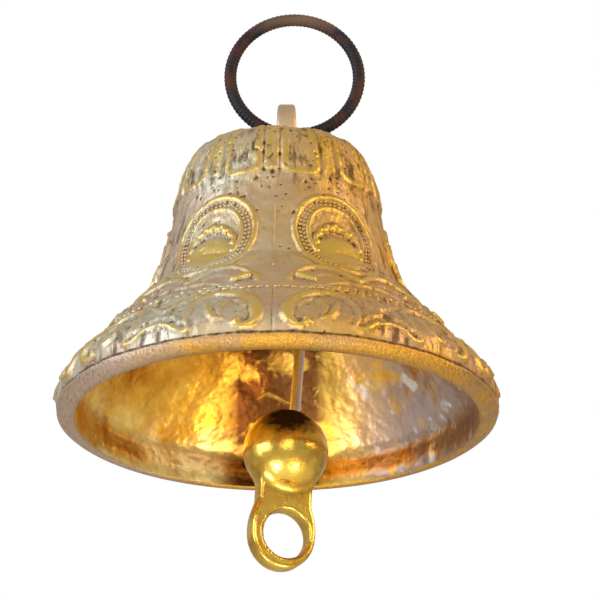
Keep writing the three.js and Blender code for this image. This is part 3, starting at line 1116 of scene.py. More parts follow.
@dataclass
class BellShell:
    """The cast shell: two lengths of wall that meet at the flare's top, the beads and the mould's fins."""

    outline: Outline
    relief: Relief
    axis: Vector
    bore_shift: float
    split: float = 37.0
    row_spacing: float = 0.55
    inside_spacing: float = 2.4
    crown_bore: float = 4.3
    beads_per_sector: int = 23
    bead_row: float = 18.8
    frame_pitch: float = 1.5
    bead_wear: float = 0.55
    fin_wear: float = 0.6
    fin_heights: tuple[float, float] = (29.0, 53.5)

    def _wall(
        self, name: str, outer: dict, rim: list, inner: list, materials: list, crown_faces: int = 0
    ) -> Piece:
        """Wraps a grid round the axis for one length of wall, and moulds its outside.

        Args:
            name: the piece's name.
            outer: rows of the outside, from the bottom up, with the relief's field by row and column.
            rim: radius and height of the points below the outside, from the inside edge outwards.
            inner: radius and height of the inside, from the top down.
            materials: the three finishes, in the order of Wall.
            crown_faces: how many strips past the outside rows have the outside's finish too.

        Returns:
            The finished piece.
        """
        profile = np.array([*rim, *zip(outer["r"], outer["z"]), *inner])
        first, last, columns = len(rim), len(rim) + len(outer["r"]), self.relief.columns
        bm = bmesh.new()
        bmesh.ops.create_grid(bm, x_segments=columns, y_segments=len(profile), size=1)
        made = object_from(bm, name, materials)
        mesh = made.data
        spot, middle = np.empty(3 * len(mesh.vertices)), np.empty(3 * len(mesh.polygons))
        mesh.vertices.foreach_get("co", spot)
        mesh.polygons.foreach_get("center", middle)
        spot, middle = spot.reshape(-1, 3), middle.reshape(-1, 3)
        column = np.rint((spot[:, 0] + 1) / 2 * columns).astype(int) % columns
        row = np.rint((spot[:, 1] + 1) / 2 * len(profile)).astype(int) % len(profile)
        strip = np.floor((middle[:, 1] + 1) / 2 * len(profile)).astype(int)
        part = np.full(len(strip), Wall.INSIDE.value)
        part[strip < last - 1 + crown_faces] = Wall.OUTSIDE.value
        part[strip < first] = Wall.RIM.value
        mesh.polygons.foreach_set("material_index", part.astype(np.int32))

        turn = column * FULL_TURN / columns
        radius, z = profile[row, 0], profile[row, 1]
        way = np.stack([np.sin(turn), -np.cos(turn)], 1)
        rest = np.column_stack([radius[:, None] * way, z]) * MM
        moulded = (row >= first) & (row < last)
        at = np.clip(row - first, 0, last - first - 1)
        rise = outer["height"][at, column] + 0.16 * waves(rest, 14) + 0.06 * waves(rest, 4, 5)
        rise = np.where(moulded, rise, 0)
        sway = 0.25 * waves(rest, 19, 9) + 0.1 * waves(rest, 7, 2)
        core = (row >= last) & (radius > 12)
        radius = radius + rise * outer["nr"][at] + np.where(core, sway, 0)
        bore = np.clip(1 - (radius - self.crown_bore) / 6, 0, 1) * self.bore_shift
        place = np.column_stack([radius[:, None] * way, z + rise * outer["nz"][at]]) * MM
        place[:, 0] += bore * MM
        mesh.vertices.foreach_set("co", (place + np.array(self.axis)).ravel())
        store_wear(made, *(np.where(moulded, outer[key][at, column], 0) for key in ("relief", "hollow")))
        bm = bmesh.new()
        bm.from_mesh(mesh)
        bmesh.ops.remove_doubles(bm, verts=bm.verts, dist=WELD)
        bmesh.ops.recalc_face_normals(bm, faces=bm.faces)
        bm.to_mesh(mesh)
        bm.free()
        mesh.set_sharp_from_angle(angle=math.radians(62))
        return made

    def walls(self, materials: list) -> list[Piece]:
        """Builds the wall in two lengths.

        Args:
            materials: the three finishes, in the order of Wall.

        Returns:
            The flare with its rim, and the waist with the crown.
        """
        outline = self.outline
        rows = outline.rows(0.5, outline.top, self.row_spacing)
        rows.update(self.relief.field(rows))
        cut = int(np.searchsorted(rows["z"], self.split))
        low, high = {k: v[: cut + 1] for k, v in rows.items()}, {k: v[cut:] for k, v in rows.items()}
        drop, edge = -outline.lip_drop, outline.rim_inner
        rim = [(edge, drop + 0.5), (edge + 0.5, drop), (edge + 2.1, drop)]
        for t in (0.1, 0.35, 0.6, 0.85):
            rim.append((edge + 2.4 + t * 3.5, drop * (1 - t) - 0.25 * math.sin(math.pi * t)))
        split = rows["z"][cut]
        inner = outline.inside(5.0, split, self.inside_spacing)[::-1] + [(edge - 0.1, 2.0)]
        flare = self._wall("bell_shell_flare", low, rim, inner, materials)
        under, top = outline.height - outline.wall, outline.height
        crown = [(12.0, top), (self.crown_bore, top), (self.crown_bore, under), (12.0, under)]
        inner = crown + outline.inside(split, under - 1.0, self.inside_spacing)[::-1]
        return [flare, self._wall("bell_shell_waist", high, [], inner, materials, 2)]

    def _place(self, angle: float, height: float, lift: float) -> Vector:
        """Finds a point on the outside.

        Args:
            angle: degrees round from the front.
            height: its height above the lip.
            lift: how far it is raised from the wall.

        Returns:
            The point, in metres from the lip's middle.
        """
        at = self.outline.at(np.array([height]))
        radius = at["r"][0] + lift * at["nr"][0]
        turn = math.radians(angle)
        z = at["z"][0] + lift * at["nz"][0]
        return Vector((radius * math.sin(turn), -radius * math.cos(turn), z)) * MM

    def _bead(self, bm: BMesh, angle: float, height: float, sizes: tuple, lift: float) -> None:
        """Adds one bead.

        Args:
            bm: the bmesh to add to.
            angle: degrees round from the front.
            height: its height above the lip.
            sizes: half its size along the row, up the wall and out of it.
            lift: how far its middle is raised from the wall.
        """
        at = self.outline.at(np.array([height]))
        lean = math.atan2(at["nz"][0], at["nr"][0])
        turn = Matrix.Rotation(math.radians(angle), 4, "Z") @ Matrix.Rotation(-lean, 4, "X")
        scale = Matrix.Diagonal((sizes[0] * MM, sizes[2] * MM, sizes[1] * MM, 1))
        matrix = Matrix.Translation(self._place(angle, height, lift)) @ turn @ scale
        bmesh.ops.create_uvsphere(bm, u_segments=8, v_segments=6, radius=1, matrix=matrix)

    def _all_round(self, bm: BMesh, name: str, material: Material) -> Piece:
        """Repeats one sector's beads round the bell and finishes them, rubbed bright all over.

        Args:
            bm: one sector's beads, round the origin.
            name: the piece's name.
            material: its finish.

        Returns:
            The finished piece.
        """
        geometry, steps = [*bm.verts, *bm.edges, *bm.faces], self.relief.repeats - 1
        angle = FULL_TURN - FULL_TURN / self.relief.repeats
        bmesh.ops.spin(
            bm, geom=geometry, cent=(0, 0, 0), axis=Z_AXIS, angle=angle, steps=steps, use_duplicate=True
        )
        bmesh.ops.translate(bm, verts=bm.verts, vec=self.axis)
        made = object_from(bm, name, [material])
        store_wear(made, self.bead_wear)
        return made

    def bead_rows(self, material: Material) -> Piece:
        """Builds the rows of long beads round the flare: a full one, and a finer one behind the scrolls.

        Args:
            material: their finish.

        Returns:
            The finished piece.
        """
        bm = bmesh.new()
        dice = np.random.default_rng(SEED + 2)
        pitch = 360 / self.relief.repeats / self.beads_per_sector
        for k in range(self.beads_per_sector):
            angle = self.relief.seam_angle + (k + 0.5) * pitch
            wobble = dice.uniform(-0.12, 0.12, 3)
            self._bead(bm, angle, self.bead_row + wobble[0], (1.08 + wobble[1], 0.62, 0.62 + wobble[2]), 0.12)
            if 3 < k < self.beads_per_sector - 4:
                self._bead(bm, angle + 0.8, self.bead_row + 1.3, (1.0, 0.5, 0.5 + wobble[0]), 0.05)
        return self._all_round(bm, "bead_rows", material)

    def medallion_beads(self, material: Material) -> Piece:
        """Builds the double rows of small beads in the medallions' frames.

        Args:
            material: their finish.

        Returns:
            The finished piece.
        """
        bm = bmesh.new()
        middle = self.relief.seam_angle + self.relief.half_sector
        fine = self.outline.rows(0.0, self.outline.top, self.outline.fine)
        for inset in (2.35, 3.55):
            curve = self.relief.frame(inset)
            r, z = (np.interp(curve[:, 1], fine["s"], fine[key]) for key in ("r", "z"))
            steps = np.hypot(np.radians(np.diff(curve[:, 0])) * r[1:], np.diff(curve[:, 1]))
            along = np.r_[0, np.cumsum(steps)]
            for mark in np.arange(self.frame_pitch / 2, along[-1], self.frame_pitch):
                away = self.relief.half_sector - np.interp(mark, along, curve[:, 0])
                height = np.interp(mark, along, z)
                for side in (-1, 1):
                    self._bead(bm, middle + side * away, height, (0.55, 0.55, 0.42), 0.12)
        return self._all_round(bm, "medallion_beads", material)

    def seam_fins(self, material: Material) -> Piece:
        """Builds the two thin fins that the halves of the mould left on the waist.

        Args:
            material: their finish.

        Returns:
            The finished piece.
        """
        bm = bmesh.new()
        for angle in (self.relief.seam_angle, self.relief.seam_angle + 180):
            rings = []
            for number, height in enumerate(np.linspace(*self.fin_heights, 40)):
                thick = 0.3 + 0.3 * max(0.0, 1 - number / 6)
                spread = math.degrees(thick / self.outline.at(np.array([height]))["r"][0])
                corners = ((-spread, -0.3), (-spread * 0.5, 0.42), (spread * 0.5, 0.42), (spread, -0.3))
                points = [self._place(angle + a, height, lift) + self.axis for a, lift in corners]
                rings.append(wire(bm, points, True)[len(points) :])
            bmesh.ops.bridge_loops(bm, edges=[edge for ring in rings for edge in ring])
            bmesh.ops.contextual_create(bm, geom=rings[0])
            bmesh.ops.contextual_create(bm, geom=rings[-1])
        bmesh.ops.recalc_face_normals(bm, faces=bm.faces)
        made = object_from(bm, "seam_fins", [material])
        store_wear(made, self.fin_wear)
        return made

    def build(self, outside: Material, inside: Material, rim: Material) -> None:
        """Builds the shell's pieces and puts them on the bell's body.

        Args:
            outside: finish of the outside and the beads.
            inside: finish of the inside.
            rim: finish of the lip's band.
        """
        pieces = self.walls([outside, inside, rim])
        pieces += [self.bead_rows(outside), self.medallion_beads(outside), self.seam_fins(outside)]
        for piece in pieces:
            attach(piece, "bell")
            report(piece)
        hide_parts("bell_shell")


# ---------------------------------------------------------------- ring, loop and fasteners


@dataclass
class HangingRing:
    """The ring: wire with rolled ribs, bent round and closed."""

    centre: Vector
    radius: float
    wire: float
    rib_pitch: float = 1.3
    rib_depth: float = 0.16
    rib_slant: float = 1.2
    steps_per_rib: int = 6
    sides: int = 20

    def build(self, material: Material) -> None:
        """Builds the ring and puts it on its body.

        Args:
            material: its finish.
        """
        ribs = round(FULL_TURN * self.radius / self.rib_pitch)
        section = []
        for k in range(self.sides):
            turn = FULL_TURN * k / self.sides
            out = self.radius + self.wire / 2 * math.cos(turn)
            section.append(Vector((out, self.wire / 2 * math.sin(turn), 0)) * MM)
        bm = spun(section, ribs * self.steps_per_rib, True, Vector(), Y_AXIS)
        for vert in bm.verts:
            around = math.atan2(vert.co.z, vert.co.x)
            middle = Vector((math.cos(around), 0, math.sin(around))) * self.radius * MM
            out = vert.co - middle
            turn = math.atan2(out.y, out.normalized().dot(middle.normalized()))
            rib = math.cos(ribs * around + self.rib_slant * turn)
            radius = self.wire / 2 - self.rib_depth * (0.5 - 0.5 * rib) + 0.04
            vert.co = middle + out.normalized() * radius * MM + self.centre
        ring = object_from(bm, "ribbed_ring", [material])
        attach(ring, "ring")
        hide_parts("hanging_ring")
        report(ring)


@dataclass
class CrownLoop:
    """The lug that the ring hangs in, with its flange and its threaded stem through the crown."""

    axis_x: float
    crown_z: float
    top_z: float
    stem_low_z: float
    hole_half: float = 4.0
    side_bar: float = 4.6
    top_bar: float = 6.3
    width_top: float = 5.1
    width_base: float = 6.4
    flange_radius: float = 10.0
    flange_thick: float = 1.5
    flange_gap: float = 0.3
    stem_radius: float = 3.9
    thread_pitch: float = 1.25
    thread_depth: float = 0.65

    def lug(self, material: Material) -> Piece:
        """Builds the arched lug, swept from a rounded bar.

        Args:
            material: its finish.

        Returns:
            The finished piece.
        """
        bm = bmesh.new()
        middle_radius = self.hole_half + self.side_bar / 2
        arch_z = self.top_z - (self.hole_half + self.top_bar) * MM
        half_width, half_bar, corner = self.width_top / 2, self.side_bar / 2, 0.8
        section = []
        for sx, sy, start in ((1, 1, 0), (-1, 1, 90), (-1, -1, 180), (1, -1, 270)):
            for step in range(4):
                turn = math.radians(start + 30 * step)
                x = sx * (half_width - corner) + corner * math.cos(turn)
                y = sy * (half_bar - corner) + corner * math.sin(turn)
                section.append(Vector((x, middle_radius + y, 0)) * MM + Vector((0, 0, arch_z)))
        geometry = wire(bm, section, True)
        foot = self.crown_z + 0.9 * MM - arch_z
        middle = Vector((0, 0, arch_z))
        spin = bmesh.ops.spin(bm, geom=geometry, cent=middle, axis=X_AXIS, angle=math.pi, steps=22)
        for end in (geometry, spin["geom_last"]):
            grown = bmesh.ops.extrude_edge_only(bm, edges=only(BMEdge, end))["geom"]
            bmesh.ops.translate(bm, verts=only(BMVert, grown), vec=Z_AXIS * foot)
            bmesh.ops.contextual_create(bm, geom=only(BMEdge, grown))
        for vert in bm.verts:
            up = min(1.0, max(0.0, (vert.co.z - self.crown_z) / (self.top_z - self.crown_z)))
            vert.co.x *= (self.width_base * (1 - up) + self.width_top * up) / self.width_top
            out = math.hypot(vert.co.y, vert.co.z - arch_z)
            if vert.co.z > arch_z and out > self.hole_half * MM * 1.02:
                rise = (vert.co.z - arch_z) / out
                thick = (out / MM - self.hole_half) / self.side_bar
                vert.co.z += rise * thick * (self.top_bar - self.side_bar) * MM
        bmesh.ops.remove_doubles(bm, verts=bm.verts, dist=WELD)
        bmesh.ops.recalc_face_normals(bm, faces=bm.faces)
        bmesh.ops.translate(bm, verts=bm.verts, vec=X_AXIS * self.axis_x)
        return object_from(bm, "crown_lug", [material])

    def base(self, material: Material) -> Piece:
        """Builds the round flange and the stem with its rolled thread.

        Args:
            material: its finish.

        Returns:
            The finished piece.
        """
        low = self.crown_z + self.flange_gap * MM
        high = self.crown_z + (self.flange_gap + self.flange_thick) * MM
        soft, radius, stem = 0.35 * MM, self.flange_radius * MM, self.stem_radius * MM
        profile = [(0, high), (radius - soft, high), (radius, high - soft)]
        profile += [(radius, low + soft), (radius - soft, low)]
        turns = int((low - self.stem_low_z) / (self.thread_pitch * MM))
        for k in range(turns):
            z = low - k * self.thread_pitch * MM
            profile += [(stem, z - 0.2 * MM), ((self.stem_radius - self.thread_depth) * MM, z - 0.8 * MM)]
        profile += [(stem - 0.8 * MM, self.stem_low_z), (0, self.stem_low_z)]
        bm = spun([Vector((r, 0, z)) for r, z in profile], 48, False, Vector(), Z_AXIS)
        bmesh.ops.translate(bm, verts=bm.verts, vec=X_AXIS * self.axis_x)
        return object_from(bm, "crown_loop_base", [material], smooth=False)

    def build(self, material: Material) -> None:
        """Builds the loop and puts it on the bell's body.

        Args:
            material: its finish.
        """
        lug, base = self.lug(material), self.base(material)
        for piece in (lug, base):
            store_wear(piece, 0.0)
            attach(piece, "bell")
            report(piece)
        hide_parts("crown_loop")


@dataclass
class Fasteners:
    """The washer, the nut and the eye under the crown."""

    axis_x: float
    washer_box: tuple[Vector, Vector]
    nut_box: tuple[Vector, Vector]
    eye_box: tuple[Vector, Vector]
    bore: float = 4.3
    eye_bar: float = 3.6
    eye_radius: float = 5.3
    boss_radius: float = 6.5
    boss_height: float = 9.0
    boss_chamfer: float = 0.8
    seat_depth: float = 5.3
    chamfer: float = 0.6

    def _collar(self, outer: float, low: float, high: float, steps: int) -> BMesh:
        """Turns a ring with a bore and chamfered edges.

        Args:
            outer: its radius in millimetres.
            low: its lower height in metres.
            high: its upper height in metres.
            steps: sections in the full turn.

        Returns:
            The bmesh, round the upright axis.
        """
        c = self.chamfer * MM * min(1.0, (high - low) / (3 * MM))
        bore, outer = self.bore * MM, outer * MM
        points = [(bore, low + c), (bore + c, low), (outer - c, low), (outer, low + c)]
        points += [(outer, high - c), (outer - c, high), (bore + c, high), (bore, high - c)]
        return spun([Vector((r, 0, z)) for r, z in points], steps, True, Vector(), Z_AXIS)

    def washer(self, material: Material) -> Piece:
        """Builds the flat washer.

        Args:
            material: its finish.

        Returns:
            The finished piece.
        """
        low, high = self.washer_box
        bm = self._collar((high.x - self.axis_x) / MM, low.z, high.z, 48)
        return object_from(bm, "flat_washer", [material], smooth=False)

    def nut(self, material: Material) -> Piece:
        """Builds the hexagon nut: a round collar squared off on six flats.

        Args:
            material: its finish.

        Returns:
            The finished piece.
        """
        low, high = self.nut_box
        corner, flat = high.y, high.x - self.axis_x
        bm = self._collar(corner / MM, low.z, high.z, 48)
        for vert in bm.verts:
            radius = math.hypot(vert.co.x, vert.co.y)
            turn = (math.atan2(vert.co.y, vert.co.x) + math.pi / 6) % (math.pi / 3) - math.pi / 6
            limit = flat / math.cos(turn)
            if radius > limit:
                vert.co.x, vert.co.y = vert.co.x * limit / radius, vert.co.y * limit / radius
        return object_from(bm, "hexagon_nut", [material], smooth=False)

    def eye(self, material: Material) -> tuple[Piece, Piece]:
        """Builds the eye nut.

        Args:
            material: its finish.

        Returns:
            Its boss and the round eye below it.
        """
        low, high = self.eye_box
        boss_low = high.z - self.boss_height * MM
        r, c, bore = self.boss_radius * MM, self.boss_chamfer * MM, self.bore * MM
        seat = high.z - self.seat_depth * MM
        profile = [(0, boss_low - 1.2 * MM), (r * 0.6, boss_low - 1.0 * MM), (r - c, boss_low)]
        profile += [(r, boss_low + c), (r, high.z - c), (r - c, high.z)]
        profile += [(bore, high.z), (bore, seat), (0, seat)]
        bm = spun([Vector((radius, 0, z)) for radius, z in profile], 40, False, Vector(), Z_AXIS)
        boss = object_from(bm, "eye_boss", [material])
        middle = Vector((0, 0, low.z + (self.eye_radius + self.eye_bar / 2) * MM))
        section = []
        for k in range(16):
            turn = FULL_TURN * k / 16
            along = Vector((math.sin(turn), math.cos(turn), 0)) * self.eye_bar / 2
            section.append(middle + (Vector((0, self.eye_radius, 0)) + along) * MM)
        bm = spun(section, 48, True, middle, X_AXIS)
        return boss, object_from(bm, "clapper_hanger_eye", [material])

    def build(self, material: Material) -> None:
        """Builds the fasteners and puts them on the bell's body.

        Args:
            material: their finish.
        """
        washer, nut, (boss, eye) = self.washer(material), self.nut(material), self.eye(material)
        for piece in (washer, nut, boss, eye):
            piece.data.transform(Matrix.Translation(X_AXIS * self.axis_x))
            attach(piece, "bell")
            report(piece)
        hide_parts("crown_washer")
        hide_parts("crown_nut")
        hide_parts("clapper_eye")


# ---------------------------------------------------------------- clapper


@dataclass
class Clapper:
    """The hooked rod, and the ball with its pull loop cast in one."""

    axis_x: float
    lip_z: float
    pivot_z: float
    eye_bar: float = 3.6
    rod: float = 3.2
    hook_inner: float = 3.0
    hook_drop: float = 0.65
    rod_lean: float = 4.5
    rod_off_ball: float = 2.6
    ball_radius: float = 12.4
    ball_drop: float = 11.0
    ball_lean: float = 3.0
    pull_turn: float = 22.0
    pull_thick: float = 6.0
    hole_half_width: float = 7.0
    hole_half_height: float = 7.2
    side_bar: float = 2.7
    bottom_bar: float = 3.2
    web: float = 5.8
    hole_offset: float = 0.8
    neck_half: float = 8.0
    fillet: float = 2.6
    voxel: float = 0.33
    pulls: int = 6
    nudge: float = 0.02
    longest_pull: float = 0.6

    def rod_path(self) -> list[Vector]:
        """Draws the rod's middle line.

        Returns:
            Its points, from inside the ball up round the hook.
        """
        hook = self.hook_inner + self.rod / 2
        top = self.ball_radius - self.ball_drop
        foot = self.rod_off_ball
        slope = math.tan(math.radians(self.rod_lean))
        bend = top + (hook - foot) / slope
        heights = np.linspace(top - 6, bend - 4, 8)
        points = [(foot + slope * (z - top), z) for z in heights] + [(hook, bend + 4)]
        hook_z = (self.pivot_z - self.lip_z) / MM - self.hook_drop
        points += [(hook, z) for z in np.linspace(bend + 8, hook_z - 4, 3)]
        for angle in range(0, 276, 12):
            turn = math.radians(angle)
            points.append((hook * math.cos(turn), hook_z + hook * math.sin(turn)))
        return [Vector((x * MM + self.axis_x, 0, z * MM + self.lip_z)) for x, z in points]

    def rod_piece(self, material: Material) -> Piece:
        """Builds the rod as a round bar along its path.

        Args:
            material: its finish.

        Returns:
            The finished piece.
        """
        curve = bpy.data.curves.new("clapper_hook_rod", "CURVE")
        curve.dimensions, curve.use_fill_caps = "3D", True
        curve.bevel_depth, curve.bevel_resolution = self.rod / 2 * MM, 5
        path = self.rod_path()
        line = curve.splines.new("NURBS")
        line.points.add(len(path) - 1)
        for point, place in zip(line.points, path):
            point.co = (*place, 1)
        line.order_u, line.use_endpoint_u, line.resolution_u = 4, True, 4
        maker = bpy.data.objects.new("rod_maker", curve)
        return placed(smooth_mesh(maker, maker), "clapper_hook_rod", [material])

    def _casting_distance(self, p: np.ndarray) -> np.ndarray:
        """Returns how far each point is outside the ball and pull loop, in millimetres.

        Args:
            p: points in millimetres, with the ball's middle as zero and its axis upright, as rows.

        Returns:
            Distances, negative inside.
        """
        ball = np.linalg.norm(p, axis=1) - self.ball_radius
        turn = math.radians(self.pull_turn)
        along = p[:, 0] * math.cos(turn) + p[:, 1] * math.sin(turn)
        across = -p[:, 0] * math.sin(turn) + p[:, 1] * math.cos(turn)
        z = p[:, 2]
        hole_z = -self.ball_radius - self.web - self.hole_half_height
        wide, tall = self.hole_half_width + self.side_bar, self.hole_half_height + self.bottom_bar
        hole_along, hole_up = along - self.hole_offset, z - hole_z
        hole = np.hypot(hole_along / self.hole_half_width, hole_up / self.hole_half_height)
        hole_edge = (1 - hole) * min(self.hole_half_width, self.hole_half_height)
        bow = wide * np.sqrt(np.clip(1 - (np.clip(z - hole_z, 0, None) / tall) ** 2, 0, 1))
        blend = np.clip(1 - np.abs(bow - self.neck_half) / 4, 0, 1) ** 2 * np.clip((z - hole_z) / 4, 0, 1)
        half = np.maximum(bow, self.neck_half) + blend
        below = np.hypot(along / wide, np.minimum(z - hole_z, 0) / tall)
        outer = np.where(z < hole_z, (below - 1) * min(wide, tall), np.abs(along) - half)
        flat = np.maximum(outer, hole_edge)
        top = z + self.ball_radius * 0.6
        round_edge = 1.0
        side = np.abs(across) - self.pull_thick / 2
        q = np.stack([flat + round_edge, side + round_edge, top + round_edge], 1)
        plate = np.linalg.norm(np.clip(q, 0, None), axis=1) + np.minimum(q.max(1), 0) - round_edge
        k = self.fillet
        mix = np.clip(0.5 + 0.5 * (plate - ball) / k, 0, 1)
        return plate * (1 - mix) + ball * mix - k * mix * (1 - mix)

    def casting(self, material: Material) -> Piece:
        """Builds the ball and pull loop: a fine skin drawn on to their smooth outline.

        Args:
            material: its finish.

        Returns:
            The finished piece.
        """
        bm = bmesh.new()
        bmesh.ops.create_uvsphere(bm, u_segments=48, v_segments=32, radius=self.ball_radius * MM)
        hole_z = -self.ball_radius - self.web - self.hole_half_height
        turn = Matrix.Rotation(math.radians(self.pull_turn), 4, "Z")
        count = 48
        wide, tall = self.hole_half_width + self.side_bar / 2, self.hole_half_height + self.bottom_bar / 2
        thick, deep = self.side_bar * 0.6 * MM, self.pull_thick * 0.5 * MM
        bar = Matrix.Diagonal((thick, deep, thick, 1))
        for k in range(count):
            angle = FULL_TURN * k / count
            place = Vector((wide * math.cos(angle), 0, hole_z + tall * math.sin(angle))) * MM
            at = turn @ Matrix.Translation(place) @ bar
            bmesh.ops.create_uvsphere(bm, u_segments=12, v_segments=8, radius=1, matrix=at)
        neck = Matrix.Translation(Vector((0, 0, (-self.ball_radius - 1) * MM)))
        neck = turn @ neck @ Matrix.Diagonal((self.neck_half * 2 * MM, self.pull_thick * MM, 8 * MM, 1))
        bmesh.ops.create_cube(bm, size=1, matrix=neck)
        for side in (-1, 1):
            place = Vector((side * (self.neck_half - 0.6), 0, -self.ball_radius - self.web)) * MM
            size = Matrix.Diagonal((2.4 * MM, self.pull_thick * MM, 9 * MM, 1))
            cheek = turn @ Matrix.Translation(place) @ size
            bmesh.ops.create_cube(bm, size=1, matrix=cheek)
        rough = object_from(bm, "casting_maker", [])
        remesh = rough.modifiers.new("skin", "REMESH")
        remesh.mode, remesh.voxel_size = "VOXEL", self.voxel * MM
        bpy.context.view_layer.update()
        mesh = smooth_mesh(rough, rough.evaluated_get(bpy.context.evaluated_depsgraph_get()))
        place = np.empty(3 * len(mesh.vertices))
        mesh.vertices.foreach_get("co", place)
        p = place.reshape(-1, 3) / MM
        for _ in range(self.pulls):
            here = self._casting_distance(p)
            slope = np.stack([self._casting_distance(p + self.nudge * axis) - here for axis in np.eye(3)], 1)
            slope /= np.maximum(np.linalg.norm(slope, axis=1, keepdims=True), 1e-9)
            p = p - np.clip(here, -self.longest_pull, self.longest_pull)[:, None] * slope
        lean = np.array(Matrix.Rotation(math.radians(self.ball_lean), 3, "Y"))
        p = p @ lean.T + np.array([0, 0, -self.ball_drop])
        mesh.vertices.foreach_set("co", (p * MM + np.array([self.axis_x, 0, self.lip_z])).ravel())
        mesh.update()
        return placed(mesh, "clapper_casting", [material])

    def build(self, rod: Material, brass: Material) -> None:
        """Builds the clapper and puts it on its body.

        Args:
            rod: the rod's finish.
            brass: finish of the ball and its pull loop.
        """
        bar, casting = self.rod_piece(rod), self.casting(brass)
        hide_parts("clapper_rod")
        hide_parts("clapper_ball")
        for piece, slot in ((bar, "rod_steel"), (casting, "polished_brass")):
            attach(piece, "clapper")
            report(piece)


# ---------------------------------------------------------------- stage


@dataclass
class Stage:
    """Camera, floor, sky and soft lights. Lengths are metres and angles degrees."""

    lip_x: float
    lip_z: float
    distance: float = 0.8
    elevation: float = -20.1
    aim_above_lip: float = 2.44
    aim_right_of_lip: float = 0.507
    lens: float = 163.9
    floor_z: float = -0.85
    floor_half: float = 4.0
    sky_low: str = "#8d8378"
    sky_middle: str = "#b9b2a8"
    sky_high: str = "#d6d0c6"
    aim_height: float = 0.03

    def camera(self) -> None:
        """Adds the camera, which looks up at the bell from below."""
        tilt = math.radians(self.elevation)
        back = Vector((0, -math.cos(tilt), math.sin(tilt)))
        data = bpy.data.cameras.new("camera")
        data.lens, data.sensor_width = self.lens, 36
        data.clip_start, data.clip_end = 0.01, 50
        camera = bpy.data.objects.new("camera", data)
        camera.location = Vector((self.lip_x, 0, self.lip_z)) + back * self.distance
        look = Matrix.Rotation(math.radians(90 - self.elevation + self.aim_above_lip), 4, "X")
        aside = Matrix.Rotation(-math.radians(self.aim_right_of_lip), 4, "Z")
        camera.matrix_world = Matrix.Translation(camera.location) @ aside @ look
        bpy.context.scene.collection.objects.link(camera)
        bpy.context.scene.camera = camera

    def floor(self, material: Material) -> None:
        """Adds the plain pale floor, well below the hanging bell and the camera.

        Args:
            material: its paint.
        """
        bm = bmesh.new()
        bmesh.ops.create_grid(bm, x_segments=1, y_segments=1, size=self.floor_half)
        bmesh.ops.translate(bm, verts=bm.verts, vec=Z_AXIS * self.floor_z)
        floor = object_from(bm, "floor", [material])

    def sky(self) -> None:
        """Adds a pale sky: white where it is seen, and dimmer where it lights the metal."""
        world = bpy.data.worlds.new("pale_sky")
        world.use_nodes = True
        bpy.context.scene.world = world
        tree = world.node_tree
        background = tree.nodes["Background"]
        ray = add_node(tree, "LightPath").outputs["Is Camera Ray"]
        way = add_node(tree, "TexCoord").outputs["Generated"]
        up = add_node(tree, "SeparateXYZ", {"Vector": way}).outputs["Z"]
        rise = add_node(tree, "MapRange", {"Value": up, "From Min": -0.4, "From Max": 1.0})
        room = add_node(tree, "ValToRGB", {"Fac": rise.outputs["Result"]})
        ramp = room.color_ramp
        ramp.elements[0].position, ramp.elements[0].color = 0.0, linear(self.sky_low)
        ramp.elements[1].position, ramp.elements[1].color = 1.0, linear(self.sky_high)
        ramp.elements.new(0.45).color = linear(self.sky_middle)
        seen = {"Factor": ray, "A": room.outputs["Color"], "B": (1, 1, 1, 1)}
        colour = add_node(tree, "Mix", seen, data_type="RGBA").outputs["Result"]
        feed(background, {"Color": colour, "Strength": 1.0})

    def soft_light(self, name: str, place: tuple, size: tuple, power: float, colour: str) -> None:
        """Adds one soft panel that faces the bell.

        Args:
            name: the light's name.
            place: where it stands, in metres from the lip's middle.
            size: its width and height in metres.
            power: its power in watts.
            colour: its colour as sRGB hex.
        """
        data = bpy.data.lights.new(name, "AREA")
        data.shape, data.size, data.size_y = "RECTANGLE", *size
        data.energy, data.color = power, linear(colour)[:3]
        light = bpy.data.objects.new(name, data)
        aim = Z_AXIS * (self.lip_z + self.aim_height)
        light.location = Vector(place) + Z_AXIS * self.lip_z
        light.rotation_mode = "QUATERNION"
        light.rotation_quaternion = (aim - light.location).to_track_quat("-Z", "Y")
        bpy.context.scene.collection.objects.link(light)

    def build(self, floor: Material) -> None:
        """Sets the whole stage.

        Args:
            floor: the floor's paint.
        """
        self.camera()
        self.floor(floor)
        self.sky()
        self.soft_light("window_left", (-0.9, -0.45, 0.25), (0.8, 0.9), 9.0, "#dfeaff")
        self.soft_light("lamp_right", (0.9, -0.3, 0.4), (0.5, 0.5), 5.5, "#ffd894")
        self.soft_light("fill_front", (0.05, -1.2, 0.1), (0.6, 0.6), 3.6, "#fff3e0")
        self.soft_light("low_right", (0.3, -0.33, -0.64), (0.25, 0.25), 2.2, "#ffe9c0")
        self.soft_light("low_left", (-0.3, -0.33, -0.64), (0.3, 0.3), 2.2, "#dfe8ff")
        bpy.context.scene.view_settings.view_transform = "Standard"


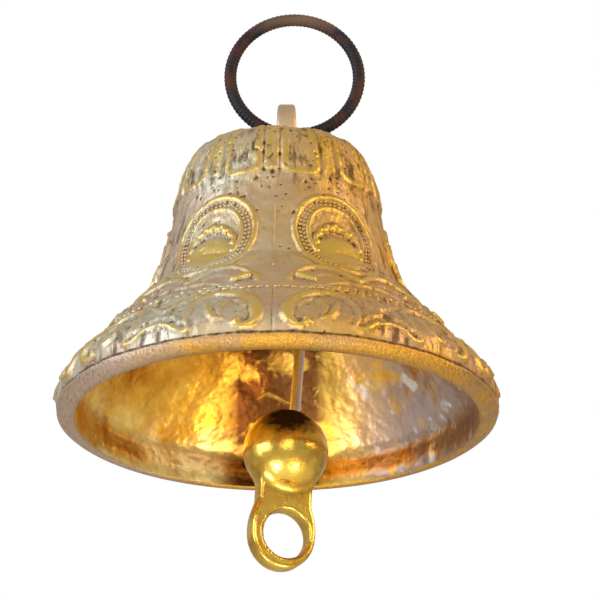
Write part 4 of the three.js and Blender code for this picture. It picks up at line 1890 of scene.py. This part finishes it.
def report(piece: Piece) -> None:
    """Logs a finished piece and its size."""
    size = [round(v / MM, 1) for v in piece.dimensions]
    LOG.info("%s: %d faces, %s mm", piece.name, len(piece.data.polygons), size)


def main() -> None:
    """Builds every piece round the frame."""
    logging.basicConfig(level=logging.INFO, format="%(name)s: %(message)s")
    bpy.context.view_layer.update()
    shell_low, shell_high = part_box("bell_shell")
    mouth_radius = (shell_high.x - shell_low.x) / 2 / MM
    outline = Outline(mouth_radius, (shell_high.z - shell_low.z) / MM - Outline.lip_drop)
    axis = Vector(((shell_low.x + shell_high.x) / 2, 0, shell_low.z + outline.lip_drop * MM))
    loop_low, loop_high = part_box("crown_loop")
    stem_x = (loop_low.x + loop_high.x) / 2
    Stage(axis.x, axis.z).build(PalePaper().material())

    cast = CastBrass().material(axis)
    inside, rim = BareCastBrass().material(axis), FiledBrass().material(axis)
    BellShell(outline, Relief(outline), axis, (stem_x - axis.x) / MM).build(cast, inside, rim)

    ring_low, ring_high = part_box("hanging_ring")
    wire_size = (ring_high.y - ring_low.y) / MM
    ring_radius = (ring_high.x - ring_low.x) / 2 / MM - wire_size / 2
    HangingRing((ring_low + ring_high) / 2, ring_radius, wire_size).build(RustySteel().material())

    plain_brass = CastBrass(name="plain_cast_brass", tan="#cdb084", crown_grime=200.0).material(axis)
    CrownLoop(stem_x, shell_high.z, loop_high.z, loop_low.z).build(plain_brass)
    zinc = DrawnSteel("dull_zinc_steel", "#7c7c80", "#9a9a9c", 0.35).material()
    Fasteners(stem_x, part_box("crown_washer"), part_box("crown_nut"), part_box("clapper_eye")).build(zinc)
    pivot = next(j for j in frame["record"]["behaviour"]["joints"] if j["name"] == "clapper_swing")["pos_m"]
    rod_steel = DrawnSteel("drawn_steel", "#b8b0b4", "#dcd6d6", 0.12).material()
    clapper = Clapper(stem_x, axis.z, pivot[2])
    ball = Vector((stem_x, 0, axis.z - clapper.ball_drop * MM))
    clapper.build(rod_steel, PolishedBrass().material(ball))


if __name__ == "__main__":
    main()
